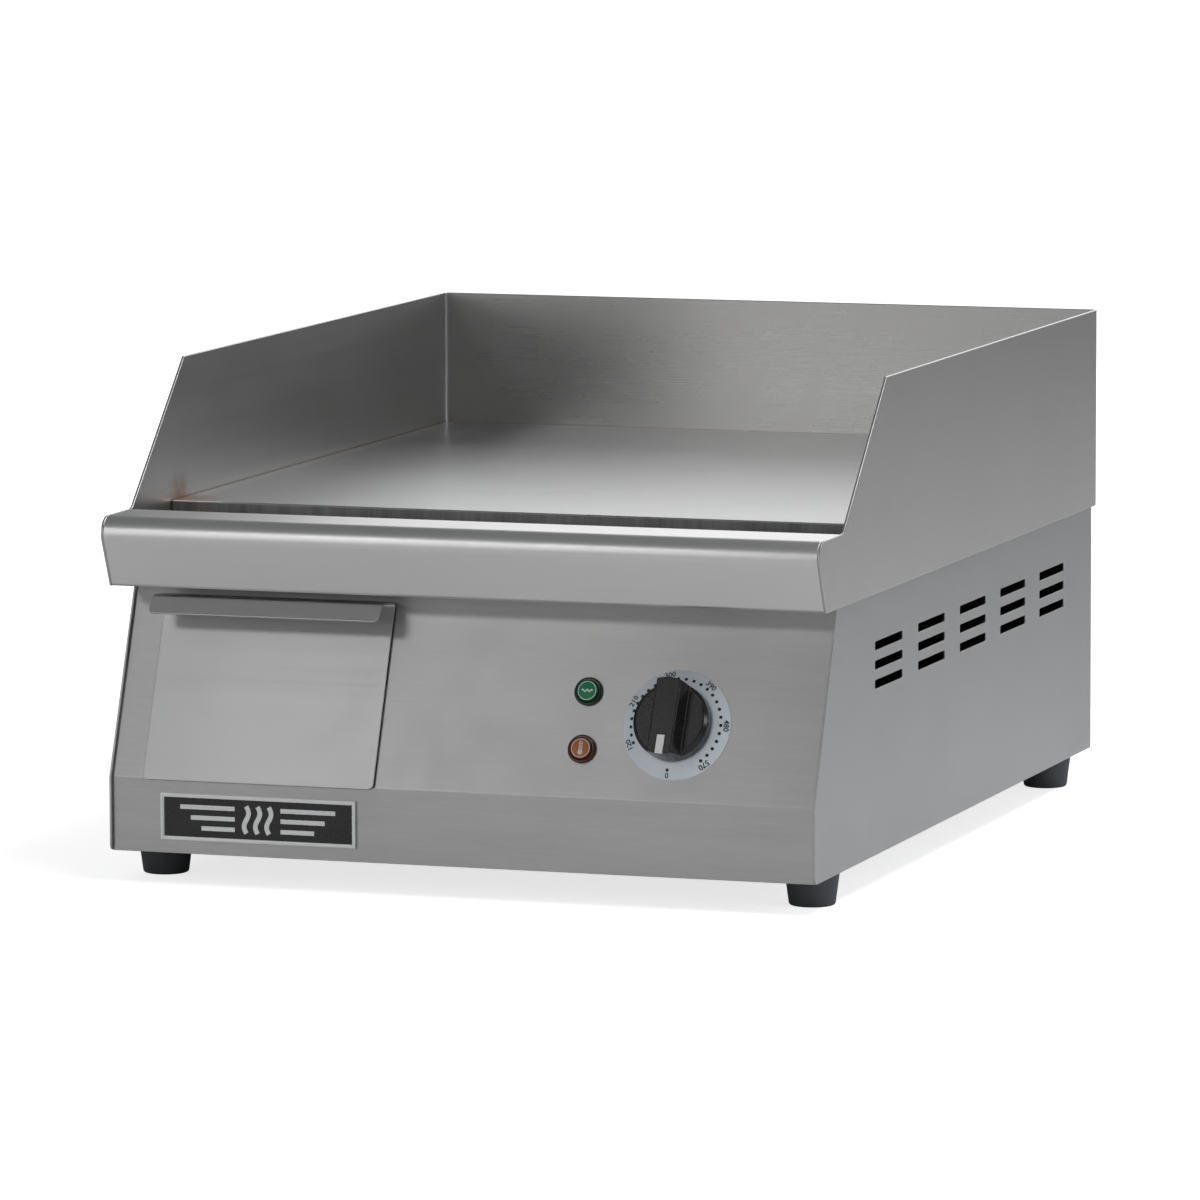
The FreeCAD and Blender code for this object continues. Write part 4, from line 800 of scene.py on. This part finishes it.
addPiece("badgeRim", badgeRimMesh(), "housing", (badgeSilver,), badgePlace, ("badge_plate",))
fieldLevel = badgeSize.y - badge["rimRise"] * mm
addPiece("badgeField", boxMesh(badgeSize.x - 2 * badge["rim"] * mm, badgeSize.z - 2 * badge["rim"] * mm,
                               fieldLevel - 0.2 * mm, fieldLevel + 0.08 * mm), "housing", (badgeField,),
         badgePlace, weighted=False)
addPiece("badgeEmblem", emblemMesh(), "housing", (badgeSilver,),
         badgePlace @ Matrix.Translation((0, 0, fieldLevel + 0.08 * mm)), weighted=False)
print("badge made")

rearScrew = {
    "headRadius": 3.8, "headHeight": 2.2, "recessLong": 4.6, "recessWide": 0.95, "recessDeep": 1.2, "seed": 7,
}


def screwHead():
    # domed head with a cross recess; its own z axis points out of the panel
    r, h = rearScrew["headRadius"], rearScrew["headHeight"]
    profile = [(0, -0.4), (2.0, -0.4), (2.0, 0), (r, 0), (r, h * 0.28)]
    for i in range(1, 7):
        a = math.radians(15 * i)
        profile.append((r * math.cos(a) * 0.985, h * 0.28 + (h * 0.72 - 0.02) * math.sin(a)))
    profile[-1] = (0, h - 0.02)
    piece = addObject("screwHead", toMesh("screwHead", revolve(profile, 32, False)))
    cutters = []
    for turned in (0, 90):
        bm = boxMesh(rearScrew["recessLong"] * mm, rearScrew["recessWide"] * mm,
                     (h - rearScrew["recessDeep"]) * mm, (h + 1) * mm)
        for v in bm.verts:
            if v.co.z < h * mm:
                v.co.x *= 0.55
                v.co.y *= 0.8
        bm.transform(Matrix.Rotation(math.radians(turned), 4, "Z"))
        cutters.append(addObject("recess", toMesh("recess", bm)))
        modifier = piece.modifiers.new("recess", "BOOLEAN")
        modifier.operation = "DIFFERENCE"
        modifier.object = cutters[-1]
        modifier.solver = "EXACT"
    final = finalMesh(piece, *cutters)
    smoothFaces(final, 35)
    return final


def buildScrewTree():
    # one head on every point, each turned by its own amount about the axis
    tree, given, made = newGroup("screwRow", "GeometryNodeTree", [
        ("Geometry", "NodeSocketGeometry", None),
        ("Head", "NodeSocketObject", None),
        ("Tilt", "NodeSocketVector", (0, 0, 0)),
        ("Size", "NodeSocketFloat", 1.0),
        ("Seed", "NodeSocketInt", 1),
        ("Metal", "NodeSocketMaterial", None),
    ], [("Geometry", "NodeSocketGeometry")])
    head = addNode(tree, "GeometryNodeObjectInfo", transform_space="ORIGINAL", Object=given["Head"])
    places = addNode(tree, "GeometryNodeMeshToPoints", Mesh=given["Geometry"])
    turned = addNode(tree, "FunctionNodeRandomValue", data_type="FLOAT", Seed=given["Seed"])
    floats = [s for s in turned.inputs if s.type == "VALUE"]
    floats[0].default_value = 0.0
    floats[1].default_value = math.pi
    spin = addNode(tree, "ShaderNodeCombineXYZ", Z=[s for s in turned.outputs if s.type == "VALUE"][0])
    placed = addNode(tree, "GeometryNodeInstanceOnPoints", Points=places.outputs[0],
                     Instance=head.outputs["Geometry"], Scale=given["Size"], Rotation=given["Tilt"])
    spun = addNode(tree, "GeometryNodeRotateInstances", Instances=placed.outputs[0], Rotation=spin.outputs[0])
    return inkInstances(tree, spun.outputs[0], given["Metal"], made)


def islandCentres(node):
    # the low and high corner of each loose solid in a CAD node
    bm = weldedCopy(node)
    left = set(bm.verts)
    spots = []
    while left:
        todo = [left.pop()]
        group = []
        while todo:
            v = todo.pop()
            group.append(v.co.copy())
            for e in v.link_edges:
                w = e.other_vert(v)
                if w in left:
                    left.remove(w)
                    todo.append(w)
        lo = Vector((min(c[i] for c in group) for i in range(3)))
        hi = Vector((max(c[i] for c in group) for i in range(3)))
        spots.append((lo, hi))
    bm.free()
    return sorted(spots, key=lambda s: (round(s[0].x, 4), round(s[0].z, 4)))


headObject = addObject("headPattern", screwHead())
rearLow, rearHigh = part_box("rear_panel")
spots = bpy.data.meshes.new("rearScrewSpots")
spots.from_pydata([((lo.x + hi.x) / 2, rearHigh.y, (lo.z + hi.z) / 2)
                   for lo, hi in islandCentres("rear_screws")], [], [])
rearScrews = runTree("rearScrewHeads", buildScrewTree(), spots, Head=headObject, Tilt=(-math.pi / 2, 0, 0),
                     Size=1.0, Seed=rearScrew["seed"], Metal=zincMetal)
bpy.data.objects.remove(headObject)
meshPiece("rearScrewHeads", rearScrews, "housing", None, ("rear_screws",))
print("screws made")

# a felted blanket under the heating elements
blanket = {"cell": 6.0, "sink": 1.4, "wave": 26.0}
woolLow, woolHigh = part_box("insulation_blanket")


def woolMesh():
    across = max(4, round((woolHigh.x - woolLow.x) / (blanket["cell"] * mm)))
    deep = max(4, round((woolHigh.y - woolLow.y) / (blanket["cell"] * mm)))
    bm = bmesh.new()
    layers = []
    for level, sign in ((woolLow.z, 1), (woolHigh.z, -1)):
        grid = []
        for i in range(across + 1):
            row = []
            for j in range(deep + 1):
                x = woolLow.x + (woolHigh.x - woolLow.x) * i / across
                y = woolLow.y + (woolHigh.y - woolLow.y) * j / deep
                lump = noise.noise(Vector((x, y, level)) * 1000 / blanket["wave"])
                fuzz = noise.noise(Vector((x, y, level)) * 400)
                drop = (0.5 + 0.5 * lump) * 0.7 + (0.5 + 0.5 * fuzz) * 0.3
                edge = min(i, j, across - i, deep - j)
                drop = min(1.0, drop + (0.8 if edge == 0 else 0))
                row.append(bm.verts.new((x, y, level + sign * drop * blanket["sink"] * mm)))
            grid.append(row)
        layers.append(grid)
    low, high = layers
    for i in range(across):
        for j in range(deep):
            bm.faces.new((low[i][j], low[i][j + 1], low[i + 1][j + 1], low[i + 1][j]))
            bm.faces.new((high[i][j], high[i + 1][j], high[i + 1][j + 1], high[i][j + 1]))
    for i in range(across):
        bm.faces.new((low[i][0], low[i + 1][0], high[i + 1][0], high[i][0]))
        bm.faces.new((low[i + 1][deep], low[i][deep], high[i][deep], high[i + 1][deep]))
    for j in range(deep):
        bm.faces.new((low[0][j + 1], low[0][j], high[0][j], high[0][j + 1]))
        bm.faces.new((low[across][j], low[across][j + 1], high[across][j + 1], high[across][j]))
    bmesh.ops.recalc_face_normals(bm, faces=bm.faces)
    return bm


addPiece("woolBlanket", woolMesh(), "housing", (woolMat,), None, ("insulation_blanket",),
         smoothAngle=70, weighted=False)
print("blanket made")

# finishes of the CAD nodes that show as they are
nodeFinish = {
    "base_panel": galvanised, "bulb_saddle": galvanised, "drawer_guide_left": galvanised,
    "drawer_guide_right": galvanised, "guide_brackets": galvanised, "heat_shield": galvanised,
    "element_clamps": galvanised, "plate_support_left": galvanised, "plate_support_right": galvanised,
    "clamp_nuts": zincMetal, "foot_nuts": zincMetal, "foot_screws": zincMetal, "earth_stud": zincMetal,
    "plate_studs": zincMetal, "terminal_screws": zincMetal, "thermostat_screws": zincMetal,
    "thermostat_shaft": zincMetal, "capillary_tube": copperMetal, "sensor_bulb": sheathMetal,
    "heating_element_left": sheathMetal, "heating_element_right": sheathMetal, "drain_spout": troughSteel,
    "foot_front_left": rubber, "foot_front_right": rubber, "foot_rear_left": rubber,
    "foot_rear_right": rubber,
    "heat_light_body": blackMoulding, "heat_light_nut": blackMoulding, "power_light_body": blackMoulding,
    "power_light_nut": blackMoulding, "thermostat_body": blackMoulding, "cable_gland": glandNylon,
    "gland_nut": glandNylon, "terminal_block": ceramic, "earth_lead": greenSleeve, "lamp_leads": whiteSleeve,
    "live_leads": brownSleeve, "neutral_leads": blueSleeve,
}
for name, material in nodeFinish.items():
    for holder in nodes[name].material_slots:
        holder.material = material
print("node finishes set")

# floor, light and camera
studio = {
    "floor": 0.80, "floorSize": 30.0,
    "glowNear": 0.75, "glowFar": 1.0, "glowStart": 0.35, "glowEnd": 1.8,   # the paper runs out to white
    "room": 0.20, "backdrop": 1.05,
    "stripPower": 16.0, "backPower": 13.5, "frontPower": 6.0, "keyPower": 2.8, "sidePower": 3.5,
}
floorMesh = bpy.data.meshes.new("floor")
half = studio["floorSize"] / 2
floorMesh.from_pydata([(-half, -half, 0), (half, -half, 0), (half, half, 0), (-half, half, 0)], [],
                      [(0, 1, 2, 3)])
floor = addObject("floor", floorMesh)
paper, paperTree, paperShader, paperPlace = newMaterial("paperFloor")
paperAway = addVectorMath(paperTree, "LENGTH", paperPlace, out="Value")
paperGlow = addRange(paperTree, paperAway, studio["glowStart"], studio["glowEnd"], studio["glowNear"],
                     studio["glowFar"], smooth=True)
paperRays = paperTree.nodes.new("ShaderNodeLightPath")
feedAll(paperTree, paperShader.inputs, **{
    "Base Color": grey(studio["floor"]), "Roughness": 0.9, "Specular IOR Level": 0.1,
    "Emission Color": (1, 1, 1, 1),
    "Emission Strength": addMath(paperTree, "MULTIPLY", paperGlow, paperRays.outputs["Is Camera Ray"])})
floorMesh.materials.append(paper)

world = bpy.data.worlds.new("studio")
bpy.context.scene.world = world
world.use_nodes = True
tree = world.node_tree
tree.nodes.clear()
seen = addNode(tree, "ShaderNodeBackground", Color=(1, 1, 1, 1), Strength=studio["backdrop"])
room = addNode(tree, "ShaderNodeBackground", Color=(0.97, 0.985, 1.0, 1), Strength=studio["room"])
either = tree.nodes.new("ShaderNodeMixShader")
rays = tree.nodes.new("ShaderNodeLightPath")
for i, given in enumerate((rays.outputs["Is Camera Ray"], room.outputs[0], seen.outputs[0])):
    feed(tree, given, either.inputs[i])
addNode(tree, "ShaderNodeOutputWorld", Surface=either.outputs[0])


def addPanelLight(name, place, aim, power, width, height, tone=(1, 1, 1)):
    light = bpy.data.lights.new(name, "AREA")
    light.shape = "RECTANGLE"
    light.size = width
    light.size_y = height
    light.energy = power
    light.color = tone
    holder = addObject(name, light)
    holder.location = place
    holder.rotation_euler = (Vector(aim) - Vector(place)).to_track_quat("-Z", "Y").to_euler()


middle = Vector((0, 0, 0.13))
addPanelLight("stripSoftbox", (0.45, 0.1, 1.4), middle, studio["stripPower"], 1.9, 0.5)
addPanelLight("backSoftbox", (-0.15, 2.4, 1.1), middle, studio["backPower"], 2.0, 1.4)
addPanelLight("frontSoftbox", (-1.5, -3.2, 0.5), middle, studio["frontPower"], 1.8, 0.9)
addPanelLight("keySoftbox", (-0.92, -2.4, 1.25), (0.0, -0.27, 0.1), studio["keyPower"], 0.6, 0.3)
addPanelLight("sideSoftbox", (1.9, -0.7, 0.78), middle, studio["sidePower"], 0.25, 0.45, (0.95, 0.97, 1.0))

view = {
    "turn": 18.88, "rise": 7.12, "roll": -0.2, "away": 4.58696,        # degrees and metres
    "aim": (-0.00463, -0.2804, 0.12776),                               # y from the back of the guard
    "lens": 248.87, "sensor": 36.0, "shiftX": -0.00346, "shiftY": 0.0012,
}
guardLow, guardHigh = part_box("splash_guard")
a, e, r = (math.radians(view[k]) for k in ("turn", "rise", "roll"))
back = Vector((math.sin(a) * math.cos(e), -math.cos(a) * math.cos(e), math.sin(e)))
right = Vector((math.cos(a), math.sin(a), 0))
up = back.cross(right)
right, up = right * math.cos(r) + up * math.sin(r), up * math.cos(r) - right * math.sin(r)
aim = Vector((view["aim"][0], guardHigh.y + view["aim"][1], view["aim"][2]))
lens = bpy.data.cameras.new("camera")
lens.lens = view["lens"]
lens.sensor_width = view["sensor"]
lens.shift_x = view["shiftX"]
lens.shift_y = view["shiftY"]
lens.clip_start = 0.1
lens.clip_end = 100
camera = addObject("camera", lens)
camera.matrix_world = (Matrix.Translation(aim + back * view["away"])
                       @ Matrix((right, up, back)).transposed().to_4x4())
bpy.context.scene.camera = camera
bpy.context.scene.view_settings.view_transform = "Standard"
print("studio ready")

bpy.context.view_layer.update()
